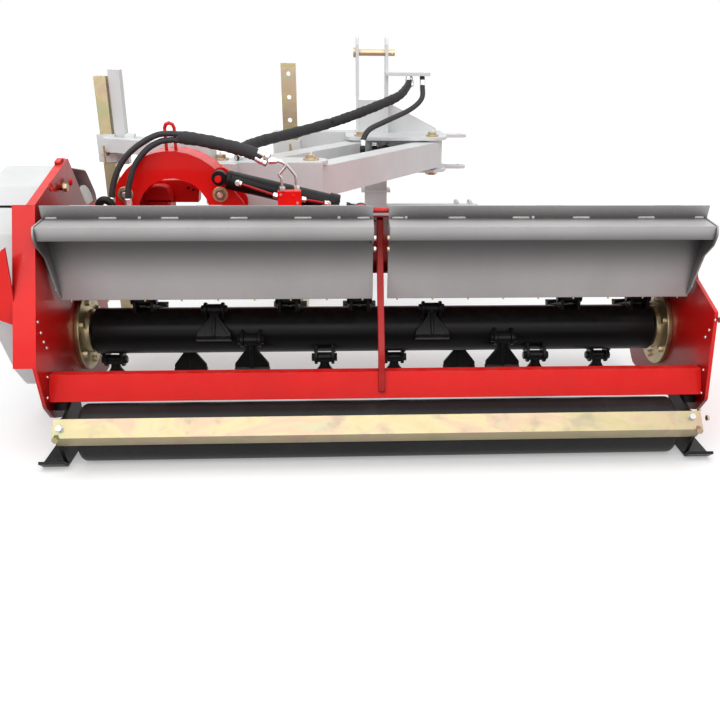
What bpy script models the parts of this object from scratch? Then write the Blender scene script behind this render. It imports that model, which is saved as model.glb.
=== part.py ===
"""Side-shift verge flail mower, built in metres with +Z up.

The ground is Z = 0.  The dimensions below are laid out with X = 0 in the middle of
the deck and Y = 0 on the roller's axis; the finished machine is moved so that the
origin is under the middle of its bounding box.  The tractor stands at +Y, so the
roller, the hood and the cross bar face -Y.
"""
import math

import bmesh
import bpy
from mathutils import Matrix, Vector

# Fits
FIT = 0.0003            # gap between pieces that touch
SIDES_SMALL = 8
SIDES = 18
SIDES_LARGE = 32

# Deck
DECK_HALF = 0.915       # from the middle to the inner face of a side plate
PLATE_T = 0.010         # side plates
SHEET_T = 0.005         # folded sheets
PLATE_LOW = 0.119       # lowest point of a side plate's rear corner
FRONT_LOW = 0.045       # lowest point of a side plate's front corner
FRONT_Y = 0.625         # front edge of the side plates
EDGE_FLANGE_W = 0.050   # strip welded along the left plate's rear edge
ROOF_FLANGE_W = 0.014   # narrow strip along the left plate's roof
STRIP_T = 0.006
PEAK_Y = 0.424
PEAK_Z = 0.770
NOTCH_Y = 0.120
NOTCH_Z = 0.691
WEDGE_REACH = 0.110     # cover bracket that points away from the left plate

# Rotor
ROTOR_Y = 0.376
ROTOR_Z = 0.245
TUBE_R = 0.072
TUBE_END_GAP = 0.036    # from the side plate to the end of the tube
STUB_R = 0.028
HAMMER_COUNT = 16
HAMMER_EDGE = 0.078     # from the side plate to the first hammer
HAMMER_ROWS = "BTFVRTLTBVFRLTBT"   # from left to right
ROW_LUG_DEG = {"B": 0, "L": -45, "R": -90, "V": -150, "T": 180, "F": 45}
ROW_REST_DEG = {"B": 0, "L": 0, "R": 0, "V": -32, "T": 62, "F": 0}
PIVOT_R = 0.098         # rotor axis to hammer bolt
LUG_T = 0.010
LUG_ROUND = 0.022
LUG_BASE_HALF = 0.024
LUG_SINK = 0.009        # depth of a lug in the tube's wall
BOLT_R = 0.0085
BOLT_HEAD_R = 0.014
BOLT_HEAD_T = 0.009
EYE_R = 0.016
EYE_HALF = 0.021
HAMMER_L = 0.098
HAMMER_HALF_W = 0.0525
HAMMER_NECK_HALF = 0.014
HAMMER_T = 0.012
HAMMER_FOOT_HALF = 0.015
HAMMER_FOOT_H = 0.011
FLANGE_R = 0.120
FLANGE_T = 0.014
HUB_R = 0.068
HUB_L = 0.016

# Roller, its brackets and the scraper
ROLLER_R = 0.080
ROLLER_GAP = 0.085      # from the side plate to the roller's end
ROLLER_EDGE = 0.012
AXLE_R = 0.015
BRACKET_T = 0.010
BRACKET_GAP = 0.038     # from the roller's end to the bracket plate
SKID_Z = 0.002
SKID_T = 0.008
SKID_W = 0.070
SCRAPER_OVER = 0.007    # how far the bar runs past the bracket plates' inner faces
SCRAPER_DEPTH = 0.034
SCRAPER_HALF_H = 0.040
SCRAPER_Y = -0.0885     # edges of the angle bar
SCRAPER_Z = 0.1235      # height of its ridge

# Hood flaps
HINGE_Y = 0.142
HINGE_Z = 0.672
HINGE_ROD_R = 0.008
HINGE_BARREL_R = 0.014
FLAP_OUT = 0.010        # from the side plate to the flap's end
FLAP_MID = 0.021        # from the middle to the flap's inner end
FLAP_TOP_Y = 0.1165
FLAP_TOP_Z = 0.689
FLAP_LOW_Y = 0.172
FLAP_LOW_Z = 0.410
RIDGE_TOP_Z = 0.652
RIDGE_DEPTH = 0.080
RIDGE_H = 0.037
BARREL_L = 0.070
LUG_PLATE_T = 0.008

# Cross bar and stay
BAR_TOP_Y = 0.030
BAR_TOP_Z = 0.241
BAR_LOW_Y = 0.003
BAR_LOW_Z = 0.171
BAR_LIP = 0.032
STAY_T = 0.012
STAY_FOOT_Z = 0.190

# Drive
SHAFT_Y = 0.605         # cross shaft from the gearbox to the upper pulley
SHAFT_Z = 0.555
SHAFT_R = 0.0155
SHAFT_TUBE_R = 0.030
GEARBOX_X = -0.722
GEARBOX_HALF = 0.065
GEARBOX_LEN = 0.115
GEARBOX_H = 0.140
INPUT_R = 0.0175
INPUT_OUT = 0.085
DRIVE_PULLEY_R = 0.105
DRIVEN_PULLEY_R = 0.085
PULLEY_GAP = 0.018      # from the side plate to the pulleys
GROOVES = 3
GROOVE_PITCH = 0.022
GROOVE_DEPTH = 0.010
GROOVE_TOP = 0.013      # width of a groove at the rim and at its floor
GROOVE_FLOOR = 0.006
RIB_TOP = 0.0090
RIB_FLOOR = 0.0044
RIB_DEPTH = 0.007
BELT_CLEAR = 0.0012
BELT_BACK = 0.004
COVER_T = 0.003
COVER_W = 0.143
COVER_GAP = 0.017

# Tilt arch
TILT_X = -0.760
TILT_Z = 0.662
ARCH_X = -0.618
ARCH_Z = 0.600
ARCH_OUT_R = 0.190
ARCH_IN_R = 0.110
ARCH_REAR_Y = 0.430
ARCH_T = 0.012
ARCH_WIDE = 0.110       # over both plates
ARCH_FOOT_DEG = 4.0     # how far the left foot comes down, above the horizontal
ARCH_LEG_REACH = 0.212  # how far the right leg spreads
ARCH_LEG_DEG = 30.0
RIM_FROM_DEG = 40.0
RIM_TO_DEG = 132.0
TILT_PIN_R = 0.015
PIN_HEAD_R = 0.024
PIN_HEAD_T = 0.012
HANGER_R = 0.036
HANGER_T = 0.050

# Arms, headstock and carriage
ARM_L = 0.820
ARM_SIN = 0.564         # the arms lean to the left at rest
ARM_W = 0.080
ARM_Z = 0.670
ARM_H = 0.100
ARM_SPACING = 0.290
ARM_BOSS_R = 0.042
BOSS_OVER = 0.0065      # how far a boss stands above and below the arm
FRONT_PIVOT_X = 0.255
FRONT_PIVOT_Y = 1.300
ARM_PIN_R = 0.016
YOKE_T = 0.012
CARRIAGE_R = 0.055
WEB_T = 0.012

# Shift cylinder
SHIFT_BASE_X = 0.075
SHIFT_BASE_Y = 1.370
SHIFT_LUG_ALONG = 0.500
SHIFT_LUG_SIDE = 0.078
CYL_R = 0.028
ROD_R = 0.013
CYL_EYE_R = 0.022
CYL_EYE_HALF = 0.014
CYL_PIN_R = 0.010
SHIFT_PORTS = (0.160, 0.300)
PORT_H = 0.014

# Tilt cylinder
TILT_CYL_Y = 0.395
TILT_CYL_TOP_X = -0.470
TILT_CYL_TOP_Z = 0.718
TILT_CYL_LOW_X = -0.050
TILT_CYL_LOW_Z = 0.620
VALVE_ALONG = 0.215     # from the top eye to the valve block
SLEEVE_START = (-0.316, TILT_CYL_Y - 0.0575, 0.776)

# Stands
LEG_X = -0.915
LEG_Y = 0.860
LEG_W = 0.040
LEG_TOP = 1.000
LEG_WALL = 0.004
COLLAR_LOW = 0.700
COLLAR_H = 0.070
COLLAR_W = 0.060
MAST_D = 0.038
STAND_X = -0.323
STAND_Y = 1.400
STAND_W = 0.060
STAND_T = 0.010
STAND_TOP = 1.010
STAND_HOLE_R = 0.009
STAND_HOLE_PITCH = 0.090
FOOT_W = 0.110
FOOT_T = 0.008

# Hitch
HITCH_X = 0.015
HITCH_HALF = 0.412
HITCH_Z = 0.390
HITCH_PIN_R = 0.014
HITCH_REACH = 0.150     # from the beam's rear face to the lower lugs' tips
MAST_TOP = 1.110
TOP_LINK_DROP = 0.060   # from the mast's top to the top link pin
TOP_LINK_Y = 1.470
TOP_LINK_R = 0.0125
MAST_GAP = 0.108
BEAM_Y = 1.440
BEAM_D = 0.080
BEAM_LEFT = -0.400
BEAM_RIGHT = 0.310

# Hoses
FITTING_X = -0.775      # hydraulic fitting on the deck's roof
FITTING_Y = 0.380
FITTING_Z = 0.630
MANIFOLD_Z = 0.965      # bracket on the mast that the hoses start from
HOSE_R = 0.011
SLEEVE_R = 0.017

# Values worked out from the driving dimensions
PLATE_OUT = DECK_HALF + PLATE_T
TUBE_HALF = DECK_HALF - TUBE_END_GAP
HAMMER_FIRST = DECK_HALF - HAMMER_EDGE
HAMMER_PITCH = 2 * HAMMER_FIRST / (HAMMER_COUNT - 1)
FLAP_OUTER = DECK_HALF - FLAP_OUT
ROLLER_HALF = DECK_HALF - ROLLER_GAP
BRACKET_IN = ROLLER_HALF + BRACKET_GAP
SCRAPER_HALF = BRACKET_IN + SCRAPER_OVER
ARM_COS = math.sqrt(1 - ARM_SIN ** 2)
REAR_PIVOT_X = FRONT_PIVOT_X - ARM_L * ARM_SIN
REAR_PIVOT_Y = FRONT_PIVOT_Y - ARM_L * ARM_COS
TOP_LINK_Z = MAST_TOP - TOP_LINK_DROP
BOSS_HALF = ARM_H / 2 + BOSS_OVER
YOKE_TOP = ARM_Z + BOSS_HALF + FIT
YOKE_LOW = ARM_Z - BOSS_HALF - FIT
ARCH_FRONT_Y = ARCH_REAR_Y + ARCH_WIDE
ARCH_BOLT_X = 2 * ARCH_X - TILT_X
PULLEY_W = GROOVES * GROOVE_PITCH + 0.008
PULLEY_X = -(PLATE_OUT + PULLEY_GAP + PULLEY_W / 2)
SHELL_LINE = [
    (HINGE_Y + 0.030, HINGE_Z - 0.026),
    (HINGE_Y + 0.198, HINGE_Z - 0.060),
    (FRONT_Y - 0.065, HINGE_Z - 0.204),
    (FRONT_Y - 0.013, HINGE_Z - 0.290),
]
SHAFT_SEAT_Z = SHAFT_Z - GEARBOX_H / 2
SCRAPER_BOLT_Y = SCRAPER_Y - SCRAPER_DEPTH - 0.012
FRAME_SHIFT = (
    (PLATE_OUT + COVER_GAP + COVER_W - BRACKET_IN - SKID_W) / 2,
    -(BEAM_Y + HITCH_REACH + SCRAPER_BOLT_Y) / 2,
    0.0,
)

COLOURS = {
    "red_paint": ((0.62, 0.02, 0.015), 0.30, 0.0),
    "grey_paint": ((0.36, 0.36, 0.36), 0.45, 0.0),
    "flap_grey": ((0.24, 0.24, 0.24), 0.45, 0.0),
    "zinc": ((0.62, 0.55, 0.32), 0.35, 0.9),
    "black_steel": ((0.015, 0.015, 0.015), 0.45, 0.3),
    "chrome": ((0.75, 0.75, 0.75), 0.12, 1.0),
    "rubber": ((0.02, 0.02, 0.02), 0.80, 0.0),
    "steel": ((0.45, 0.45, 0.45), 0.35, 1.0),
}

BODIES = {}


def clear_scene():
    """Remove what a new file holds."""
    for obj in list(bpy.data.objects):
        bpy.data.objects.remove(obj, do_unlink=True)


def material(name):
    """The Principled material of one finish, made once."""
    if name in bpy.data.materials:
        return bpy.data.materials[name]
    colour, roughness, metallic = COLOURS[name]
    made = bpy.data.materials.new(name)
    made.use_nodes = True
    shader = made.node_tree.nodes["Principled BSDF"]
    shader.inputs["Base Color"].default_value = (*colour, 1.0)
    shader.inputs["Roughness"].default_value = roughness
    shader.inputs["Metallic"].default_value = metallic
    made.diffuse_color = (*colour, 1.0)
    return made


def body(name, at, parent=None):
    """An empty on a body's joint axis, to carry that body's pieces."""
    empty = bpy.data.objects.new("body_" + name, None)
    bpy.context.scene.collection.objects.link(empty)
    place = Vector(at)
    if parent:
        empty.parent = BODIES[parent][0]
        empty.location = place - BODIES[parent][1]
    else:
        empty.location = place + Vector(FRAME_SHIFT)
    BODIES[name] = (empty, place)


def put(axis, along, pair):
    """A point from its place along an axis and its two other coordinates."""
    first, second = pair
    return {
        "X": (along, first, second),
        "Y": (first, along, second),
        "Z": (first, second, along),
    }[axis]


def work(bm):
    """A working object from a mesh in the making."""
    bmesh.ops.recalc_face_normals(bm, faces=bm.faces)
    mesh = bpy.data.meshes.new("work")
    bm.to_mesh(mesh)
    bm.free()
    obj = bpy.data.objects.new("work", mesh)
    bpy.context.scene.collection.objects.link(obj)
    return obj


def prism(points, axis, low, high):
    """An outline pushed straight along an axis."""
    bm = bmesh.new()
    face = bm.faces.new([bm.verts.new(put(axis, low, p)) for p in points])
    grown = bmesh.ops.extrude_face_region(bm, geom=[face])
    verts = [item for item in grown["geom"] if isinstance(item, bmesh.types.BMVert)]
    bmesh.ops.translate(bm, verts=verts, vec=Vector(put(axis, high - low, (0, 0))))
    return work(bm)


def box(low, high):
    """A box between two corners."""
    outline = [(low[0], low[1]), (high[0], low[1]), (high[0], high[1]), (low[0], high[1])]
    return prism(outline, "Z", low[2], high[2])


def arc(centre, radius, start, stop, steps):
    """Points on an arc, angles in degrees."""
    found = []
    for i in range(steps + 1):
        angle = math.radians(start + (stop - start) * i / steps)
        found.append((centre[0] + radius * math.cos(angle), centre[1] + radius * math.sin(angle)))
    return found


def circle(centre, radius, sides):
    """A closed ring of points."""
    return arc(centre, radius, 0, 360 - 360 / sides, sides - 1)


def rod(axis, centre, radius, low, high, sides=SIDES):
    """A round bar along an axis."""
    return prism(circle(centre, radius, sides), axis, low, high)


def bore(radius, sides=SIDES):
    """Corner radius of a faceted hole that clears a shaft of this radius as it turns."""
    return (radius + FIT) / math.cos(math.pi / sides)


def rounded(corners, radius, steps=2):
    """An outline with its corners rounded; radius is one value or one for each corner."""
    count = len(corners)
    radii = radius if isinstance(radius, (list, tuple)) else [radius] * count
    found = []
    for i, corner in enumerate(corners):
        here = Vector(corner)
        back = Vector(corners[i - 1]) - here
        on = Vector(corners[(i + 1) % count]) - here
        if radii[i] <= 0:
            found.append(tuple(here))
            continue
        half = back.angle(on) / 2
        reach = min(radii[i] / math.tan(half), 0.45 * back.length, 0.45 * on.length)
        size = reach * math.tan(half)
        centre = here + (back.normalized() + on.normalized()).normalized() * size / math.sin(half)
        first = here + back.normalized() * reach - centre
        last = here + on.normalized() * reach - centre
        turn = first.angle_signed(last)
        for k in range(steps + 1):
            share = -turn * k / steps
            spun = Matrix.Rotation(share, 2) @ first
            found.append(tuple(centre + spun))
    return found


def sheet(line, thickness):
    """The outline of a folded sheet whose one face follows a line; it grows to the left of it."""
    count = len(line)
    points = [Vector(p) for p in line]
    sides = []
    for i in range(count - 1):
        run = (points[i + 1] - points[i]).normalized()
        sides.append(Vector((-run.y, run.x)))
    offset = []
    for i, point in enumerate(points):
        if i == 0:
            offset.append(point + sides[0] * thickness)
        elif i == count - 1:
            offset.append(point + sides[-1] * thickness)
        else:
            both = (sides[i - 1] + sides[i]).normalized()
            offset.append(point + both * thickness / both.dot(sides[i]))
    return [tuple(p) for p in points] + [tuple(p) for p in reversed(offset)]


def turned(profile, axis, centre, sides=SIDES):
    """A solid of revolution from (place along the axis, radius) pairs."""
    bm = bmesh.new()
    rings = []
    for along, radius in profile:
        ring = [bm.verts.new(put(axis, along, p)) for p in circle(centre, radius, sides)]
        rings.append(ring)
    for one, two in zip(rings, rings[1:]):
        for i in range(sides):
            j = (i + 1) % sides
            bm.faces.new([one[i], one[j], two[j], two[i]])
    bm.faces.new(rings[0])
    bm.faces.new(rings[-1])
    return work(bm)


def moved(obj, matrix):
    """Turn or move a working object's mesh."""
    obj.data.transform(matrix)
    return obj


def bar(start, end, radius, sides=SIDES):
    """A round bar between two points."""
    start, end = Vector(start), Vector(end)
    run = end - start
    made = rod("Z", (0, 0), radius, 0, run.length, sides)
    turn = run.to_track_quat("Z", "Y").to_matrix().to_4x4()
    return moved(made, Matrix.Translation(start) @ turn)


def beam(start, end, width, low, high):
    """A bar of rectangular section between two places in plan."""
    start, end = Vector(start), Vector(end)
    run = (end - start).normalized()
    side = Vector((-run.y, run.x)) * width / 2
    return prism([start + side, start - side, end - side, end + side], "Z", low, high)


def piece(name, finish, on, solids, cuts=(), smooth=True):
    """Join the solids, cut the holes, and keep the result as one named piece of a body."""
    base = solids[0]
    for operation, others in (("UNION", solids[1:]), ("DIFFERENCE", cuts)):
        for other in others:
            change = base.modifiers.new(operation.title(), "BOOLEAN")
            change.operation = operation
            change.object = other
    bpy.context.view_layer.update()
    graph = bpy.context.evaluated_depsgraph_get()
    mesh = bpy.data.meshes.new_from_object(base.evaluated_get(graph))
    for used in (*solids, *cuts):
        bpy.data.objects.remove(used, do_unlink=True)
    mesh.name = name
    empty, origin = BODIES[on]
    mesh.transform(Matrix.Translation(-origin))
    mesh.materials.clear()
    mesh.materials.append(material(finish))
    if smooth:
        mesh.shade_smooth()
        mesh.set_sharp_from_angle(angle=math.radians(35))
    obj = bpy.data.objects.new(name, mesh)
    bpy.context.scene.collection.objects.link(obj)
    obj.parent = empty
    return obj


def hose(name, finish, on, route, radius):
    """A hose along a smooth curve through its route's points."""
    points = [Vector(p) for p in route]
    ends = [2 * points[0] - points[1], *points, 2 * points[-1] - points[-2]]
    smooth_line = []
    for i in range(1, len(ends) - 2):
        a, b, c, d = ends[i - 1:i + 3]
        steps = max(1, round((c - b).length / (5 * radius)))
        for k in range(steps):
            t = k / steps
            smooth_line.append(0.5 * (2 * b + (c - a) * t + (2 * a - 5 * b + 4 * c - d) * t * t
                                      + (3 * b - a - 3 * c + d) * t * t * t))
    smooth_line.append(points[-1])
    empty, origin = BODIES[on]
    curve = bpy.data.curves.new(name, "CURVE")
    curve.dimensions = "3D"
    curve.bevel_depth = radius
    curve.bevel_resolution = 2
    curve.use_fill_caps = True
    spline = curve.splines.new("POLY")
    spline.points.add(len(smooth_line) - 1)
    for place, point in zip(spline.points, smooth_line):
        place.co = (*(point - origin), 1.0)
    curve.materials.append(material(finish))
    obj = bpy.data.objects.new(name, curve)
    bpy.context.scene.collection.objects.link(obj)
    obj.parent = empty
    return obj


def line_z(line, y):
    """Height of a folded line at a given Y."""
    for (y0, z0), (y1, z1) in zip(line, line[1:]):
        if y0 <= y <= y1:
            return z0 + (z1 - z0) * (y - y0) / (y1 - y0)
    return line[-1][1]


def shell_top(y):
    """Height of the shell's outer face at a given Y."""
    return line_z(SHELL_LINE, y) + SHEET_T


def hammer_place(i):
    """Place along the rotor, and the row letter, of one hammer."""
    return -HAMMER_FIRST + HAMMER_PITCH * i, HAMMER_ROWS[i % len(HAMMER_ROWS)]


def hammer_pivot(i):
    """The centre of one hammer's bolt."""
    along, row = hammer_place(i)
    angle = math.radians(ROW_LUG_DEG[row])
    return along, ROTOR_Y + PIVOT_R * math.sin(angle), ROTOR_Z - PIVOT_R * math.cos(angle)


def flap_y(z):
    """Y of the flap's outer face at a height."""
    share = (FLAP_TOP_Z - z) / (FLAP_TOP_Z - FLAP_LOW_Z)
    return FLAP_TOP_Y + (FLAP_LOW_Y - FLAP_TOP_Y) * share


def make_bodies():
    """Every body's empty, on its joint."""
    front = (FRONT_PIVOT_X, FRONT_PIVOT_Y, ARM_Z)
    front_left = (FRONT_PIVOT_X - ARM_SPACING, FRONT_PIVOT_Y, ARM_Z)
    body("headstock", (0, 0, 0))
    body("stand", (STAND_X, STAND_Y, 0), "headstock")
    body("arm_right", front, "headstock")
    body("arm_left", front_left, "headstock")
    body("carriage", (REAR_PIVOT_X, REAR_PIVOT_Y, ARM_Z), "arm_right")
    body("leg", (LEG_X, LEG_Y, 0), "carriage")
    body("shift_barrel", (SHIFT_BASE_X, SHIFT_BASE_Y, ARM_Z), "headstock")
    body("shift_rod", shift_lug(), "shift_barrel")
    body("deck", (TILT_X, 0, TILT_Z), "carriage")
    body("tilt_barrel", (TILT_CYL_TOP_X, TILT_CYL_Y, TILT_CYL_TOP_Z), "carriage")
    body("tilt_rod", (TILT_CYL_LOW_X, TILT_CYL_Y, TILT_CYL_LOW_Z), "tilt_barrel")
    body("rotor", (0, ROTOR_Y, ROTOR_Z), "deck")
    body("cross_shaft", (0, SHAFT_Y, SHAFT_Z), "deck")
    body("input_shaft", (GEARBOX_X, SHAFT_Y, SHAFT_Z), "deck")
    body("roller", (0, 0, ROLLER_R), "deck")
    body("flap_left", (0, HINGE_Y, HINGE_Z), "deck")
    body("flap_right", (0, HINGE_Y, HINGE_Z), "deck")
    for i in range(HAMMER_COUNT):
        body(f"hammer_{i + 1:02d}", hammer_pivot(i), "rotor")


def shift_lug():
    """Where the shift cylinder's rod meets its lug on the right arm."""
    along_x, along_y = -ARM_SIN, -ARM_COS
    side_x, side_y = -ARM_COS, ARM_SIN
    return (
        FRONT_PIVOT_X + SHIFT_LUG_ALONG * along_x + SHIFT_LUG_SIDE * side_x,
        FRONT_PIVOT_Y + SHIFT_LUG_ALONG * along_y + SHIFT_LUG_SIDE * side_y,
        ARM_Z,
    )


def lower_outline():
    """The lower edge that both side plates share, from the rear corner to the front."""
    return [
        (-0.020, PLATE_LOW + 0.045),
        (0.020, PLATE_LOW - 0.004),
        (0.110, FRONT_LOW + 0.030),
        (FRONT_Y - 0.070, FRONT_LOW),
        (FRONT_Y, FRONT_LOW + 0.065),
    ]


def plate_holes(low, high):
    """Cutters for the rotor's stub in a side plate."""
    return [rod("X", (ROTOR_Y, ROTOR_Z), STUB_R + 0.006, low, high, SIDES)]


def side_plate_right():
    """Right side plate, whose roof stays behind the hood."""
    outline = lower_outline() + [
        (FRONT_Y, SHELL_LINE[-1][1] + 0.010),
        (SHELL_LINE[2][0] + 0.010, SHELL_LINE[2][1] + 0.022),
        (SHELL_LINE[1][0] + 0.010, SHELL_LINE[1][1] + 0.020),
        (HINGE_Y + 0.075, HINGE_Z - 0.030),
        (0.165, 0.470),
        (0.005, 0.417),
    ]
    radii = [0.02, 0.035, 0.02, 0.05, 0.05, 0.02, 0.04, 0.03, 0.02, 0.02, 0.006]
    plate = prism(rounded(outline, radii), "X", DECK_HALF, PLATE_OUT)
    cuts = plate_holes(DECK_HALF - 0.01, PLATE_OUT + 0.01)
    piece("side_plate_right", "red_paint", "deck", [plate], cuts)


def side_plate_left():
    """Left side plate with its fin, its edge strips and the cover's bracket."""
    rear_top = (-0.046, 0.291)
    outline = lower_outline() + [
        (FRONT_Y, SHELL_LINE[-1][1] + 0.010),
        (SHAFT_Y + 0.075, SHAFT_Z - 0.040),
        (SHAFT_Y + 0.060, SHAFT_Z + 0.050),
        (0.545, 0.600),
        (PEAK_Y, PEAK_Z),
        (NOTCH_Y, NOTCH_Z),
        rear_top,
    ]
    radii = [0.02, 0.035, 0.02, 0.05, 0.0, 0.03, 0.04, 0.03, 0.006, 0.006, 0.006, 0.01]
    plate = prism(rounded(outline, radii[:len(outline)]), "X", -PLATE_OUT, -DECK_HALF)
    edge = prism(sheet([rear_top, (NOTCH_Y, NOTCH_Z)], -STRIP_T), "X",
                 -PLATE_OUT - EDGE_FLANGE_W, -PLATE_OUT + 0.002)
    roof = prism(sheet([(NOTCH_Y - 0.002, NOTCH_Z - 0.001), (PEAK_Y, PEAK_Z)], -STRIP_T), "X",
                 -PLATE_OUT - ROOF_FLANGE_W, -PLATE_OUT + 0.002)
    root = -PLATE_OUT - EDGE_FLANGE_W
    wedge_outline = [
        (root + 0.004, 0.600), (root - WEDGE_REACH, 0.520),
        (root - WEDGE_REACH, 0.430), (root + 0.004, 0.385),
    ]
    wedge = prism(rounded(wedge_outline, [0, 0.01, 0.01, 0]), "Y", 0.022, 0.022 + STRIP_T)
    tab = prism(rounded([(PEAK_Y - 0.045, PEAK_Z - 0.030), (PEAK_Y - 0.010, PEAK_Z - 0.018),
                         (PEAK_Y - 0.016, PEAK_Z + 0.004), (PEAK_Y - 0.050, PEAK_Z - 0.004)],
                        0.004, 2), "X", -PLATE_OUT - ROOF_FLANGE_W, -PLATE_OUT + 0.002)
    cuts = plate_holes(-PLATE_OUT - 0.01, -DECK_HALF + 0.01)
    cuts.append(rod("X", (SHAFT_Y, SHAFT_Z), SHAFT_TUBE_R + 0.004, -PLATE_OUT - 0.01, -DECK_HALF + 0.01))
    solids = [plate, edge, roof, wedge, tab]
    solids.append(rod("X", (0.330, 0.700), 0.009, -DECK_HALF - 0.002, -DECK_HALF + 0.010, 6))
    piece("side_plate_left", "red_paint", "deck", solids, cuts)


def deck_shell():
    """Roof of the deck with the hinge rod, the gearbox seat, the hanger and the cylinder lug."""
    half = DECK_HALF - FIT
    lip_y, lip_z = SHELL_LINE[-1]
    roof = prism(sheet(SHELL_LINE + [(lip_y - 0.024, lip_z - 0.010)], SHEET_T), "X", -half, half)
    hinge = rod("X", (HINGE_Y, HINGE_Z), HINGE_ROD_R, -FLAP_OUTER + 0.002, FLAP_OUTER - 0.002,
                SIDES_SMALL)
    solids = [roof, hinge]
    edge_y, edge_z = SHELL_LINE[0]
    for along in lug_places():
        arm = rounded([(HINGE_Y - 0.011, HINGE_Z - 0.009), (edge_y + 0.030, edge_z - 0.012),
                       (edge_y + 0.030, edge_z + 0.008), (HINGE_Y + 0.004, HINGE_Z + 0.012),
                       (HINGE_Y - 0.011, HINGE_Z + 0.009)], 0.004, 2)
        solids.append(prism(arm, "X", along - LUG_PLATE_T / 2, along + LUG_PLATE_T / 2))
    seat_front = SHAFT_Y + 0.020
    seat_rear = SHAFT_Y - GEARBOX_LEN / 2 + 0.004
    seat = [(seat_rear, SHAFT_SEAT_Z - FIT), (seat_rear, shell_top(seat_rear) - 0.014),
            (FRONT_Y - 0.030, SHELL_LINE[-1][1] + 0.016), (seat_front, SHAFT_SEAT_Z - FIT)]
    solids.append(prism(seat, "X", GEARBOX_X - GEARBOX_HALF, GEARBOX_X + GEARBOX_HALF))
    hanger_y = ARCH_REAR_Y + ARCH_WIDE / 2
    foot_z = shell_top(hanger_y + HANGER_T / 2) - 0.004
    hanger = arc((TILT_X, TILT_Z), HANGER_R, 0, 180, 10)
    hanger += [(TILT_X - HANGER_R - 0.014, foot_z), (TILT_X + HANGER_R + 0.014, foot_z)]
    solids.append(prism(hanger, "Y", hanger_y - HANGER_T / 2, hanger_y + HANGER_T / 2))
    lug_y = TILT_CYL_Y - CYL_EYE_HALF - FIT
    lug_foot = shell_top(lug_y - 0.014) - 0.004
    lug = arc((TILT_CYL_LOW_X, TILT_CYL_LOW_Z), 0.022, 0, 180, 8)
    lug += [(TILT_CYL_LOW_X - 0.045, lug_foot - 0.004), (TILT_CYL_LOW_X + 0.045, lug_foot - 0.004)]
    solids.append(prism(lug, "Y", lug_y - 0.014, lug_y))
    seat = shell_top(FITTING_Y) - 0.008
    solids.append(rod("Z", (FITTING_X, FITTING_Y), 0.013, seat, FITTING_Z, SIDES_SMALL))
    cuts = [rod("Y", (TILT_X, TILT_Z), bore(TILT_PIN_R), 0.3, 0.7)]
    piece("deck_shell", "red_paint", "deck", solids, cuts)


def barrel_places(side):
    """Middle of each hinge barrel of one flap."""
    run = FLAP_OUTER - FLAP_MID
    return [side * (FLAP_MID + run * share) for share in (0.12, 0.50, 0.88)]


def lug_places():
    """Places of the shell's hinge lugs, beside each barrel."""
    reach = BARREL_L / 2 + LUG_PLATE_T / 2 + FIT
    found = []
    for side in (-1, 1):
        for middle in barrel_places(side):
            found += [middle - reach, middle + reach]
    return found


def hood_flap(name, side):
    """One hinged hood flap: plate, folded ridge, end plates and hinge barrels."""
    low, high = sorted((side * FLAP_MID, side * FLAP_OUTER))
    face = [(FLAP_LOW_Y, FLAP_LOW_Z), (FLAP_TOP_Y, FLAP_TOP_Z), (FLAP_TOP_Y + 0.010, FLAP_TOP_Z - 0.001)]
    plate = prism(sheet(face, -SHEET_T), "X", low, high)
    ridge_y = flap_y(RIDGE_TOP_Z) + 0.002
    ridge = [(ridge_y, RIDGE_TOP_Z), (ridge_y - RIDGE_DEPTH, RIDGE_TOP_Z - 0.006),
             (ridge_y - RIDGE_DEPTH + 0.004, RIDGE_TOP_Z - 0.006 - RIDGE_H)]
    solids = [plate, prism(sheet(ridge, SHEET_T), "X", low, high)]
    tip = ridge_y - RIDGE_DEPTH
    ear = [(ridge_y + 0.002, RIDGE_TOP_Z + 0.002), (tip - 0.002, RIDGE_TOP_Z - 0.004),
           (tip - 0.010, RIDGE_TOP_Z - 0.027), (tip + 0.006, RIDGE_TOP_Z - 0.060),
           (0.098, 0.552), (0.150, FLAP_LOW_Z + 0.032), (FLAP_LOW_Y + 0.002, FLAP_LOW_Z + 0.002)]
    outer = side * FLAP_OUTER
    solids.append(prism(rounded(ear, [0.003, 0.01, 0.02, 0.02, 0.01, 0.012, 0.002], 3), "X",
                        *sorted((outer, outer - side * SHEET_T))))
    cap = [(ridge_y + 0.002, RIDGE_TOP_Z - 0.001), (tip + 0.001, RIDGE_TOP_Z - 0.007),
           (tip + 0.004, RIDGE_TOP_Z - 0.040), (flap_y(RIDGE_TOP_Z - 0.075) + 0.002, RIDGE_TOP_Z - 0.075)]
    inner = side * FLAP_MID
    solids.append(prism(cap, "X", *sorted((inner, inner + side * SHEET_T))))
    cuts = []
    for middle in barrel_places(side):
        ends = (middle - BARREL_L / 2, middle + BARREL_L / 2)
        solids.append(rod("X", (HINGE_Y, HINGE_Z), HINGE_BARREL_R, *ends, SIDES_SMALL))
        solids.append(box((ends[0] + 0.001, flap_y(HINGE_Z) + 0.002, HINGE_Z - 0.006),
                          (ends[1] - 0.001, HINGE_Y - 0.010, HINGE_Z + 0.010)))
        cuts.append(rod("X", (HINGE_Y, HINGE_Z), bore(HINGE_ROD_R, SIDES_SMALL), ends[0] - 0.01,
                        ends[1] + 0.01, SIDES_SMALL))
    piece(name, "flap_grey", "flap_left" if side < 0 else "flap_right", solids, cuts)


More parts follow.
